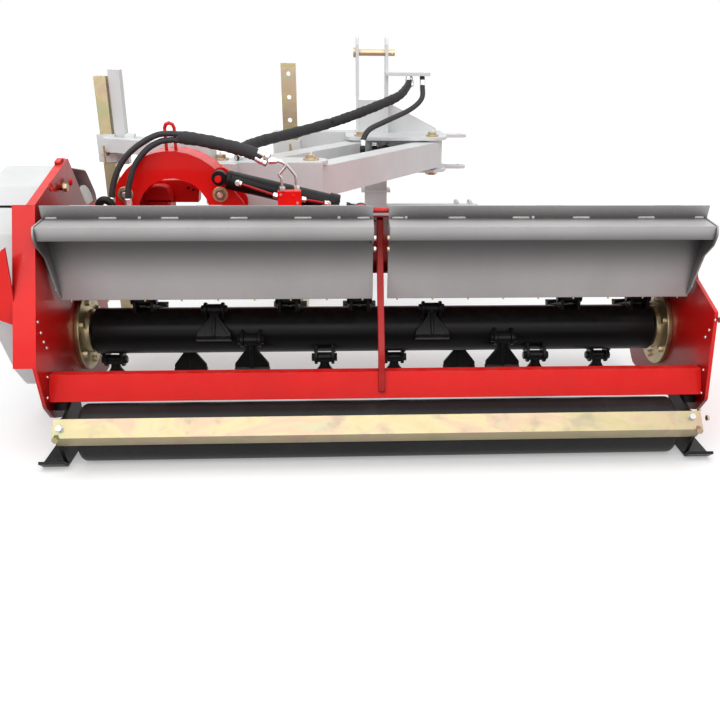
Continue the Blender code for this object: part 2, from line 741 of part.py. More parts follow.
def rear_cross_bar():
    """Folded channel between the side plates, above the roller."""
    line = [(BAR_LOW_Y + BAR_LIP, BAR_LOW_Z - 0.004), (BAR_LOW_Y, BAR_LOW_Z),
            (BAR_TOP_Y, BAR_TOP_Z), (BAR_TOP_Y + BAR_LIP, BAR_TOP_Z - 0.003)]
    half = DECK_HALF - FIT
    piece("rear_cross_bar", "red_paint", "deck", [prism(sheet(line, -SHEET_T), "X", -half, half)])


def centre_stay():
    """Bent stay from the roof down to the cross bar, in the slot between the flaps."""
    foot = BAR_TOP_Z + FIT
    head_y = SHELL_LINE[0][0] + 0.004
    head = line_z(SHELL_LINE, head_y + 0.034) - FIT
    share = (BAR_TOP_Z - STAY_FOOT_Z) / (BAR_TOP_Z - BAR_LOW_Z)
    low_y = BAR_TOP_Y + (BAR_LOW_Y - BAR_TOP_Y) * share - FIT
    outline = [(head_y, head), (head_y - 0.006, 0.560), (0.118, 0.440), (BAR_TOP_Y - 0.004, 0.290),
               (BAR_TOP_Y - 0.012, foot), (low_y - 0.012, STAY_FOOT_Z), (low_y - FIT, STAY_FOOT_Z),
               (BAR_TOP_Y - 2 * FIT, foot), (BAR_TOP_Y + 0.022, foot), (BAR_TOP_Y + 0.034, 0.290),
               (0.148, 0.430), (head_y + 0.034, 0.560), (head_y + 0.034, head)]
    radii = [0, 0.01, 0.02, 0.02, 0.01, 0.004, 0, 0, 0, 0.02, 0.02, 0.01, 0]
    piece("centre_stay", "red_paint", "deck",
          [prism(rounded(outline, radii, 3), "X", -STAY_T / 2, STAY_T / 2)])


def rotor():
    """Rotor tube with its stub shafts, paired lugs and hammer bolts."""
    left_end = PULLEY_X - PULLEY_W / 2 - 0.010
    profile = [(left_end, STUB_R), (-TUBE_HALF, STUB_R), (-TUBE_HALF, TUBE_R), (TUBE_HALF, TUBE_R),
               (TUBE_HALF, STUB_R), (PLATE_OUT + 0.012, STUB_R)]
    solids = [turned(profile, "X", (ROTOR_Y, ROTOR_Z), 22)]
    for i in range(HAMMER_COUNT):
        along, row = hammer_place(i)
        spin = math.radians(ROW_LUG_DEG[row])
        lug = [(LUG_BASE_HALF, -TUBE_R + LUG_SINK)] + arc((0, -PIVOT_R), LUG_ROUND, 0, -180, 3)
        lug.append((-LUG_BASE_HALF, -TUBE_R + LUG_SINK))
        inner = EYE_HALF + FIT
        outer = inner + LUG_T
        parts = [prism(lug, "X", side * inner, side * outer) for side in (-1, 1)]
        bolt = [(-outer - BOLT_HEAD_T, BOLT_HEAD_R), (-outer + 0.001, BOLT_HEAD_R),
                (-outer + 0.001, BOLT_R)]
        bolt += [(-place, radius) for place, radius in reversed(bolt)]
        parts.append(turned(bolt, "X", (0, -PIVOT_R), 6))
        turn = Matrix.Translation((along, ROTOR_Y, ROTOR_Z)) @ Matrix.Rotation(spin, 4, "X")
        solids += [moved(part, turn) for part in parts]
    piece("rotor", "black_steel", "rotor", solids)


def hammer(i):
    """One swinging hammer: eye, tapering blade, centre rib and T foot."""
    neck, wide = HAMMER_NECK_HALF, HAMMER_HALF_W
    outline = [(-neck, 0.004), (-neck, -0.026), (-wide, -HAMMER_L + 0.022), (-wide, -HAMMER_L),
               (wide, -HAMMER_L), (wide, -HAMMER_L + 0.022), (neck, -0.026), (neck, 0.004)]
    blade = prism(outline, "Y", -HAMMER_T / 2, HAMMER_T / 2)
    foot = [(-HAMMER_T / 2 - 0.001, -HAMMER_L + HAMMER_FOOT_H), (-HAMMER_FOOT_HALF, -HAMMER_L - 0.001),
            (HAMMER_FOOT_HALF, -HAMMER_L - 0.001), (HAMMER_T / 2 + 0.001, -HAMMER_L + HAMMER_FOOT_H)]
    solids = [
        rod("X", (0, 0), EYE_R, -EYE_HALF, EYE_HALF, SIDES_SMALL),
        blade,
        prism(foot, "X", -wide - 0.001, wide + 0.001),
        prism([(-0.012, -0.006), (-0.013, -HAMMER_L + 0.010), (0.013, -HAMMER_L + 0.010),
               (0.012, -0.006)], "X", -0.005, 0.005),
    ]
    cuts = [rod("X", (0, 0), bore(BOLT_R, SIDES_SMALL), -0.05, 0.05, SIDES_SMALL)]
    rest = math.radians(ROW_REST_DEG[hammer_place(i)[1]])
    turn = Matrix.Translation(hammer_pivot(i)) @ Matrix.Rotation(rest, 4, "X")
    solids = [moved(part, turn) for part in solids]
    cuts = [moved(part, turn) for part in cuts]
    name = f"hammer_{i + 1:02d}"
    piece(name, "black_steel", name, solids, cuts)


def bearing_flange(name, side):
    """Zinc bearing flange with its bolts, inside a side plate."""
    face = side * (DECK_HALF - FIT)
    inner = face - side * FLANGE_T
    disc = rod("X", (ROTOR_Y, ROTOR_Z), FLANGE_R, *sorted((face, inner)), SIDES_LARGE)
    hub = rod("X", (ROTOR_Y, ROTOR_Z), HUB_R, *sorted((inner + side * 0.001, inner - side * HUB_L)), 32)
    solids = [disc, hub]
    for k in range(6):
        angle = math.radians(30 + 60 * k)
        reach = (FLANGE_R + HUB_R) / 2
        place = (ROTOR_Y + reach * math.cos(angle), ROTOR_Z + reach * math.sin(angle))
        solids.append(rod("X", place, 0.011, *sorted((inner + side * 0.001, inner - side * 0.009)), 6))
    cuts = [rod("X", (ROTOR_Y, ROTOR_Z), bore(STUB_R), *sorted((face + side * 0.01, inner - side * 0.05)))]
    piece(name, "zinc", "deck", solids, cuts)


def roller():
    """Ground roller with rounded ends and its axle stubs."""
    ends = BRACKET_IN + BRACKET_T + 0.006
    profile = [(-ends, AXLE_R), (-ROLLER_HALF, AXLE_R), (-ROLLER_HALF, ROLLER_R - ROLLER_EDGE),
               (-ROLLER_HALF + 0.004, ROLLER_R - 0.004), (-ROLLER_HALF + ROLLER_EDGE, ROLLER_R)]
    profile += [(-along, radius) for along, radius in reversed(profile)]
    piece("roller", "black_steel", "roller", [turned(profile, "X", (0, ROLLER_R), SIDES_LARGE)])


def roller_bracket(name, side):
    """Bracket of the roller's end, with its boss to the side plate, skid foot and scraper tab."""
    inner, outer = side * BRACKET_IN, side * (BRACKET_IN + BRACKET_T)
    tab_y = SCRAPER_Y + FIT
    outline = [(-0.050, 0.010), (0.105, 0.006), (0.118, 0.060), (0.108, 0.150), (0.050, 0.156),
               (0.030, 0.150), (-0.020, 0.135), (tab_y + 0.002, SCRAPER_Z + 0.024),
               (tab_y + 0.002, SCRAPER_Z - 0.026)]
    radii = [0.02, 0.01, 0.03, 0.01, 0.01, 0.01, 0.01, 0.0, 0.0]
    solids = [prism(rounded(outline, radii, 3), "X", *sorted((inner, outer)))]
    tab = sorted((inner - side * 0.020, outer))
    solids.append(box((tab[0], tab_y, SCRAPER_Z - 0.026), (tab[1], tab_y + 0.007, SCRAPER_Z + 0.026)))
    boss = sorted((outer - side * 0.001, side * (DECK_HALF - FIT)))
    solids.append(box((boss[0], 0.040, 0.128), (boss[1], 0.105, 0.152)))
    skid = sorted((inner, side * (BRACKET_IN + SKID_W)))
    shoe = [(-0.082, SKID_Z + 0.022), (-0.055, SKID_Z), (0.090, SKID_Z), (0.125, SKID_Z + 0.024)]
    solids.append(prism(sheet(shoe, SKID_T), "X", *skid))
    cuts = [rod("X", (0, ROLLER_R), bore(AXLE_R), inner - 0.06, inner + 0.06)]
    piece(name, "black_steel", "deck", solids, cuts)


def scraper_bar():
    """Zinc angle bar behind the roller, ridge to the rear, with its end bolts."""
    line = [(SCRAPER_Y, SCRAPER_Z - SCRAPER_HALF_H), (SCRAPER_Y - SCRAPER_DEPTH, SCRAPER_Z),
            (SCRAPER_Y, SCRAPER_Z + SCRAPER_HALF_H)]
    solids = [prism(sheet(line, -SHEET_T), "X", -SCRAPER_HALF, SCRAPER_HALF)]
    for side in (-1, 1):
        place = (side * (BRACKET_IN - 0.006), SCRAPER_Z)
        solids.append(rod("Y", place, 0.009, SCRAPER_BOLT_Y, SCRAPER_Y, 6))
    piece("scraper_bar", "zinc", "deck", solids)


def gearbox():
    """Cast right-angle gearbox with its shaft housing to the left side plate."""
    low_y, high_y = SHAFT_Y - GEARBOX_LEN / 2, SHAFT_Y + GEARBOX_LEN / 2
    low_z, high_z = SHAFT_SEAT_Z, SHAFT_Z + GEARBOX_H / 2
    left, right = GEARBOX_X - GEARBOX_HALF, GEARBOX_X + GEARBOX_HALF
    corners = [(left, low_y), (right, low_y), (right, high_y), (left, high_y)]
    solids = [prism(rounded(corners, 0.018), "Z", low_z, high_z)]
    solids.append(rod("Z", (GEARBOX_X, SHAFT_Y), 0.042, high_z - 0.002, high_z + 0.010, SIDES))
    solids.append(rod("Y", (GEARBOX_X, SHAFT_Z), 0.044, high_y - 0.002, high_y + 0.022, SIDES))
    solids.append(rod("X", (SHAFT_Y, SHAFT_Z), 0.046, left - 0.020, left + 0.002, SIDES))
    solids.append(rod("X", (SHAFT_Y, SHAFT_Z), SHAFT_TUBE_R, -DECK_HALF + 0.004, left + 0.002, SIDES))
    solids.append(rod("X", (SHAFT_Y, SHAFT_Z), 0.044, -DECK_HALF + FIT, -DECK_HALF + 0.010, SIDES))
    for shift in (-0.030, 0.0, 0.030):
        solids.append(box((left + 0.012, low_y - 0.006, SHAFT_Z + shift - 0.003),
                          (right - 0.012, low_y + 0.002, SHAFT_Z + shift + 0.003)))
    cuts = [rod("X", (SHAFT_Y, SHAFT_Z), bore(SHAFT_R, 16), -DECK_HALF - 0.02, GEARBOX_X + 0.040, 16),
            rod("Y", (GEARBOX_X, SHAFT_Z), bore(INPUT_R, 16), SHAFT_Y + 0.030, high_y + 0.05, 16)]
    piece("gearbox", "red_paint", "deck", solids, cuts)


def groove_profile(middle, radius):
    """(place, radius) pairs across a pulley's grooves, from left to right."""
    start = middle - PULLEY_W / 2
    found = [(start, radius)]
    first = middle - GROOVES * GROOVE_PITCH / 2
    for k in range(GROOVES):
        centre = first + (k + 0.5) * GROOVE_PITCH
        found += [(centre - GROOVE_TOP / 2, radius), (centre - GROOVE_FLOOR / 2, radius - GROOVE_DEPTH),
                  (centre + GROOVE_FLOOR / 2, radius - GROOVE_DEPTH), (centre + GROOVE_TOP / 2, radius)]
    found.append((start + PULLEY_W, radius))
    return found


def cross_shaft():
    """Upper pulley on the shaft that comes from the gearbox."""
    profile = [(PULLEY_X - PULLEY_W / 2 - 0.012, SHAFT_R), (PULLEY_X - PULLEY_W / 2, SHAFT_R)]
    profile += groove_profile(PULLEY_X, DRIVE_PULLEY_R)
    profile += [(PULLEY_X + PULLEY_W / 2, SHAFT_R), (GEARBOX_X + 0.034, SHAFT_R)]
    piece("drive_pulley", "steel", "cross_shaft", [turned(profile, "X", (SHAFT_Y, SHAFT_Z), 20)])


def driven_pulley():
    """Lower pulley on the rotor's left stub."""
    solids = [turned(groove_profile(PULLEY_X, DRIVEN_PULLEY_R), "X", (ROTOR_Y, ROTOR_Z), 20)]
    cuts = [rod("X", (ROTOR_Y, ROTOR_Z), bore(STUB_R, 20), PULLEY_X - 0.1, PULLEY_X + 0.1, 20)]
    piece("driven_pulley", "steel", "rotor", solids, cuts)


def belt_path(extra):
    """The belts' loop round both pulleys, at some height over their rims."""
    top = Vector((SHAFT_Y, SHAFT_Z))
    low = Vector((ROTOR_Y, ROTOR_Z))
    one, two = DRIVE_PULLEY_R + extra, DRIVEN_PULLEY_R + extra
    run = top - low
    lean = math.degrees(math.atan2(run.y, run.x))
    turn = 180 - math.degrees(math.acos((one - two) / run.length))
    upper = arc(top, one, lean - turn, lean + turn, 12)
    lower = arc(low, two, lean + turn, lean + 360 - turn, 12)
    return upper + lower


def drive_belts():
    """Joined V-belts: a back over the rims with ribs that sit in the grooves."""
    first = PULLEY_X - GROOVES * GROOVE_PITCH / 2
    last = first + GROOVES * GROOVE_PITCH
    section = [(first, BELT_CLEAR + BELT_BACK), (first, BELT_CLEAR)]
    for k in range(GROOVES):
        centre = first + (k + 0.5) * GROOVE_PITCH
        section += [(centre - RIB_TOP / 2, BELT_CLEAR), (centre - RIB_FLOOR / 2, -RIB_DEPTH),
                    (centre + RIB_FLOOR / 2, -RIB_DEPTH), (centre + RIB_TOP / 2, BELT_CLEAR)]
    section += [(last, BELT_CLEAR), (last, BELT_CLEAR + BELT_BACK)]
    bm = bmesh.new()
    rings = [[bm.verts.new((along, *place)) for place in belt_path(extra)] for along, extra in section]
    for one, two in zip(rings, rings[1:] + rings[:1]):
        count = len(one)
        for i in range(count):
            j = (i + 1) % count
            bm.faces.new([one[i], one[j], two[j], two[i]])
    piece("drive_belts", "rubber", "deck", [work(bm)])


def cover_outline(inset):
    """Side outline of the belt cover, drawn in by an inset."""
    corners = [(0.100, 0.400), (0.172, 0.600), (0.252, 0.720), (0.400, 0.752), (0.660, 0.700),
               (0.745, 0.600), (0.700, 0.440), (0.545, 0.200), (0.470, 0.105), (0.290, 0.095),
               (0.215, 0.180)]
    middle = Vector((0.400, 0.420))
    drawn = []
    for corner in corners:
        out = Vector(corner) - middle
        drawn.append(tuple(middle + out * (1 - inset / out.length)))
    return rounded(drawn, [0.03, 0.02, 0.012, 0.03, 0.05, 0.06, 0.05, 0.05, 0.06, 0.06, 0.04], 3)


def belt_cover():
    """Grey sheet cover over both pulleys, open to the side plate, with the vent slots."""
    inner = -(PLATE_OUT + COVER_GAP)
    outer = inner - COVER_W
    shell = prism(cover_outline(0), "X", outer, inner)
    hollow = prism(cover_outline(COVER_T), "X", outer + COVER_T, inner + 0.01)
    slot = box((outer + 0.020, 0.10, 0.664), (inner - 0.020, 0.235, 0.670))
    feet = []
    for y, z in ((0.300, 0.690), (FRONT_Y - 0.018, 0.345)):
        feet.append(rod("X", (y, z), 0.010, outer + 0.001, -PLATE_OUT - FIT, SIDES_SMALL))
    piece("belt_cover", "grey_paint", "deck", [shell, *feet], [hollow_with_posts(hollow, feet), slot])


def hollow_with_posts(hollow, posts):
    """The cover's inner space, left solid where its mounting posts stand."""
    for post in posts:
        copy = post.copy()
        copy.data = post.data.copy()
        bpy.context.scene.collection.objects.link(copy)
        change = hollow.modifiers.new("Post", "BOOLEAN")
        change.operation = "DIFFERENCE"
        change.object = copy
    bpy.context.view_layer.update()
    graph = bpy.context.evaluated_depsgraph_get()
    mesh = bpy.data.meshes.new_from_object(hollow.evaluated_get(graph))
    for change in list(hollow.modifiers):
        bpy.data.objects.remove(change.object, do_unlink=True)
    hollow.modifiers.clear()
    hollow.data = mesh
    return hollow


def input_shaft():
    """Splined input stub of the gearbox."""
    start = SHAFT_Y + 0.032
    end = SHAFT_Y + GEARBOX_LEN / 2 + 0.022 + INPUT_OUT
    shaft = rod("Y", (GEARBOX_X, SHAFT_Z), INPUT_R, start, end, 16)
    cuts = []
    for k in range(6):
        angle = math.radians(60 * k)
        reach = INPUT_R + 0.0005
        place = (GEARBOX_X + reach * math.cos(angle), SHAFT_Z + reach * math.sin(angle))
        cuts.append(rod("Y", place, 0.0035, end - 0.055, end + 0.01, 6))
    piece("input_shaft", "steel", "input_shaft", [shaft], cuts)


def tilt_arch():
    """Red double arch that carries the deck's tilt pin, with its lifting eye."""
    foot = ARCH_FOOT_DEG
    leg = [(ARCH_X + ARCH_LEG_REACH, ARCH_Z - 0.006), (ARCH_X + ARCH_LEG_REACH, ARCH_Z + 0.036)]
    outer = arc((ARCH_X, ARCH_Z), ARCH_OUT_R, ARCH_LEG_DEG, 180 - foot, 14)
    inner = arc((ARCH_X, ARCH_Z), ARCH_IN_R, 180 - foot, -foot, 12)
    corners = [0.02, 0.02] + [0] * 14 + [0.02, 0.02] + [0] * 11 + [0.01]
    outline = rounded(leg + outer + inner, corners)
    solids = [prism(outline, "Y", ARCH_REAR_Y, ARCH_REAR_Y + ARCH_T),
              prism(outline, "Y", ARCH_FRONT_Y - ARCH_T, ARCH_FRONT_Y)]
    rim = arc((ARCH_X, ARCH_Z), ARCH_OUT_R, RIM_FROM_DEG, RIM_TO_DEG, 8)
    rim += arc((ARCH_X, ARCH_Z), ARCH_OUT_R - 0.010, RIM_TO_DEG, RIM_FROM_DEG, 8)
    solids.append(prism(rim, "Y", ARCH_REAR_Y + 0.002, ARCH_FRONT_Y - 0.002))
    solids.append(rod("Y", (ARCH_BOLT_X, TILT_Z), 0.030, ARCH_REAR_Y + 0.002, ARCH_FRONT_Y - 0.002))
    solids.append(rod("Y", (TILT_CYL_TOP_X, TILT_CYL_TOP_Z), CYL_PIN_R, ARCH_REAR_Y - 0.070,
                      ARCH_REAR_Y + 0.002, SIDES_SMALL))
    solids.append(rod("Y", (TILT_CYL_TOP_X, TILT_CYL_TOP_Z), 0.026, ARCH_REAR_Y, ARCH_REAR_Y + ARCH_T, 16))
    eye_y = ARCH_REAR_Y + 0.030
    top = ARCH_Z + ARCH_OUT_R
    for side in (-1, 1):
        solids.append(bar((ARCH_X + side * 0.014, eye_y, top - 0.012),
                          (ARCH_X + side * 0.014, eye_y, top + 0.066),
                          0.005, 8))
    crown = [(ARCH_X + 0.014 * math.cos(a), eye_y, top + 0.064 + 0.014 * math.sin(a))
             for a in (math.pi * k / 4 for k in range(5))]
    for start, end in zip(crown, crown[1:]):
        run = (Vector(end) - Vector(start)).normalized() * 0.002
        solids.append(bar(Vector(start) - run, Vector(end) + run, 0.0052, 8))
    cuts = [rod("Y", (TILT_X, TILT_Z), bore(TILT_PIN_R), ARCH_REAR_Y - 0.02, ARCH_FRONT_Y + 0.02),
            rod("Y", (ARCH_BOLT_X, TILT_Z), bore(TILT_PIN_R), ARCH_REAR_Y - 0.02, ARCH_FRONT_Y + 0.02)]
    piece("tilt_arch", "red_paint", "carriage", solids, cuts)


def headed_pin(name, x, end_y, nut=True):
    """A zinc pin along Y with a head and washer at the rear, and a nut at the front."""
    rear = ARCH_REAR_Y - FIT
    solids = [rod("Y", (x, TILT_Z), TILT_PIN_R, rear - 0.004, end_y, SIDES),
              rod("Y", (x, TILT_Z), PIN_HEAD_R, rear - PIN_HEAD_T, rear, 6),
              rod("Y", (x, TILT_Z), PIN_HEAD_R + 0.004, rear - 0.003, rear, SIDES)]
    if nut:
        solids.append(rod("Y", (x, TILT_Z), PIN_HEAD_R, end_y - 0.001, end_y + 0.012, 6))
    piece(name, "zinc", "carriage", solids)


def side_arm(name, on, x):
    """One parallelogram arm with its two pivot bosses."""
    front = (x, FRONT_PIVOT_Y)
    rear = (x - ARM_L * ARM_SIN, REAR_PIVOT_Y)
    low, high = ARM_Z - ARM_H / 2, ARM_Z + ARM_H / 2
    solids = [beam(front, rear, ARM_W, low, high)]
    cuts = []
    for place in (front, rear):
        solids.append(rod("Z", place, ARM_BOSS_R, ARM_Z - BOSS_HALF, ARM_Z + BOSS_HALF, SIDES))
        cuts.append(rod("Z", place, bore(ARM_PIN_R), ARM_Z - 0.1, ARM_Z + 0.1, SIDES))
    if on == "arm_right":
        lug_x, lug_y, _ = shift_lug()
        shelf_top = ARM_Z - CYL_EYE_HALF - FIT
        run = Vector((-ARM_SIN, -ARM_COS)) * 0.030
        side = Vector((ARM_COS, -ARM_SIN)) * (SHIFT_LUG_SIDE - ARM_W / 2 + 0.006)
        tip = Vector((lug_x, lug_y))
        outline = [tip + run * 0.6, tip - run * 0.6, tip + side - run, tip + side + run]
        solids.append(prism(rounded([tuple(p) for p in outline], [0.01, 0.01, 0, 0], 3), "Z",
                            shelf_top - 0.012, shelf_top))
    piece(name, "grey_paint", on, solids, cuts)


def yoke_plate(centres, radius, low, high):
    """A plate with round ends over two pivots."""
    (x0, y0), (x1, y1) = centres
    outline = arc((x0, y0), radius, 90, 270, 10) + arc((x1, y1), radius, -90, 90, 10)
    return prism(outline, "Z", low, high)


def carriage():
    """Grey carriage: two plates round the rear arm pivots, web, arch cheek and leg beam."""
    left = (REAR_PIVOT_X - ARM_SPACING, REAR_PIVOT_Y)
    right = (REAR_PIVOT_X, REAR_PIVOT_Y)
    web_y = REAR_PIVOT_Y - CARRIAGE_R
    solids = [yoke_plate((left, right), CARRIAGE_R, YOKE_TOP, YOKE_TOP + YOKE_T),
              yoke_plate((left, right), CARRIAGE_R, YOKE_LOW - YOKE_T, YOKE_LOW),
              box((left[0] - 0.040, web_y - 0.004, YOKE_LOW - YOKE_T + 0.001),
                  (right[0] + 0.040, web_y + WEB_T - 0.004, YOKE_TOP + YOKE_T - 0.001))]
    cheek_y = ARCH_FRONT_Y + FIT
    solids.append(box((ARCH_BOLT_X - 0.040, cheek_y, YOKE_LOW - YOKE_T + 0.002),
                      (ARCH_BOLT_X + 0.040, web_y + 0.004, YOKE_TOP + YOKE_T - 0.002)))
    beam_low = YOKE_TOP + YOKE_T - 0.002
    beam_high = beam_low + 0.046
    start, end = Vector(left), Vector((LEG_X, LEG_Y - COLLAR_W / 2 + 0.004))
    start += (end - start).normalized() * 0.030
    solids.append(beam(start, end, 0.045, beam_low, beam_high))
    half = COLLAR_W / 2
    solids.append(box((LEG_X - half, LEG_Y - half, COLLAR_LOW),
                      (LEG_X + half, LEG_Y + half, beam_high + 0.010)))
    mast_x = LEG_X + half - 0.004
    solids.append(box((mast_x, LEG_Y - 0.008, COLLAR_LOW - 0.010),
                      (mast_x + MAST_D, LEG_Y - 0.003, LEG_TOP)))
    solids.append(box((mast_x, LEG_Y - 0.006, COLLAR_LOW - 0.010), (mast_x + 0.005, LEG_Y + half, LEG_TOP)))
    solids.append(box((mast_x + MAST_D - 0.005, LEG_Y - 0.006, COLLAR_LOW - 0.010),
                      (mast_x + MAST_D, LEG_Y + half, LEG_TOP)))
    for reach, radius in ((0.030, 0.020), (0.070, 0.011)):
        solids.append(rod("X", (LEG_Y, beam_high - 0.008), radius, mast_x + MAST_D - 0.003,
                          mast_x + MAST_D + reach, SIDES_SMALL))
    inside = LEG_W / 2 + FIT
    cuts = [box((LEG_X - inside, LEG_Y - inside, COLLAR_LOW - 0.01),
                (LEG_X + inside, LEG_Y + inside, LEG_TOP + 0.01))]
    for place in (left, right):
        cuts.append(rod("Z", place, bore(ARM_PIN_R), YOKE_LOW - 0.05, YOKE_TOP + 0.05, SIDES))
    cuts.append(rod("Y", (ARCH_BOLT_X, TILT_Z), bore(TILT_PIN_R), ARCH_FRONT_Y - 0.01, web_y + 0.05))
    cuts.append(rod("Y", (LEG_X, COLLAR_LOW + 0.030), bore(0.007, 8), LEG_Y - 0.1, LEG_Y, 8))
    piece("carriage", "grey_paint", "carriage", solids, cuts)


def pivot_pin(name, on, x, y):
    """A zinc pin through an arm's boss and its two plates."""
    top = YOKE_TOP + YOKE_T + FIT
    low = YOKE_LOW - YOKE_T - FIT
    solids = [rod("Z", (x, y), ARM_PIN_R, low - 0.012, top + 0.002, SIDES),
              rod("Z", (x, y), 0.026, top, top + 0.005, SIDES),
              rod("Z", (x, y), 0.017, top + 0.004, top + 0.016, 6),
              rod("Z", (x, y), 0.024, low - 0.014, low, 6)]
    piece(name, "zinc", on, solids)


def clamp_screw(name, on, tip, out, length):
    """A clamp screw whose tip meets a stand, with its T bar."""
    tip, out = Vector(tip), Vector(out)
    end = tip + out * length
    side = Vector((0, 0, 0.030))
    solids = [bar(tip, end, 0.007, 8), bar(end - side - out * 0.004, end + side - out * 0.004, 0.005, 8)]
    piece(name, "zinc", on, solids)


def parking_leg():
    """Zinc square leg that slides in the carriage's collar, with its foot."""
    half = LEG_W / 2
    inner = half - LEG_WALL
    solids = [box((LEG_X - half, LEG_Y - half, FOOT_T - 0.002),
                  (LEG_X + half, LEG_Y + half, LEG_TOP - 0.02)),
              box((LEG_X - FOOT_W / 2, LEG_Y - FOOT_W / 2, 0),
                  (LEG_X + FOOT_W / 2, LEG_Y + FOOT_W / 2, FOOT_T))]
    cuts = [box((LEG_X - inner, LEG_Y - inner, FOOT_T + 0.004), (LEG_X + inner, LEG_Y + inner, LEG_TOP))]
    piece("parking_leg", "zinc", "leg", solids, cuts)


def stand_bar():
    """Perforated zinc bar of the headstock's stand, with its foot."""
    half_w, half_t = STAND_W / 2, STAND_T / 2
    solids = [box((STAND_X - half_w, STAND_Y - half_t, FOOT_T - 0.002),
                  (STAND_X + half_w, STAND_Y + half_t, STAND_TOP)),
              box((STAND_X - FOOT_W / 2, STAND_Y - FOOT_W / 2, 0),
                  (STAND_X + FOOT_W / 2, STAND_Y + FOOT_W / 2, FOOT_T))]
    cuts = []
    count = int((STAND_TOP - 0.06) / STAND_HOLE_PITCH)
    for k in range(count):
        place = (STAND_X, STAND_TOP - 0.040 - k * STAND_HOLE_PITCH)
        cuts.append(rod("Y", place, STAND_HOLE_R, STAND_Y - 0.02, STAND_Y + 0.02, SIDES_SMALL))
    piece("stand_bar", "zinc", "stand", solids, cuts)


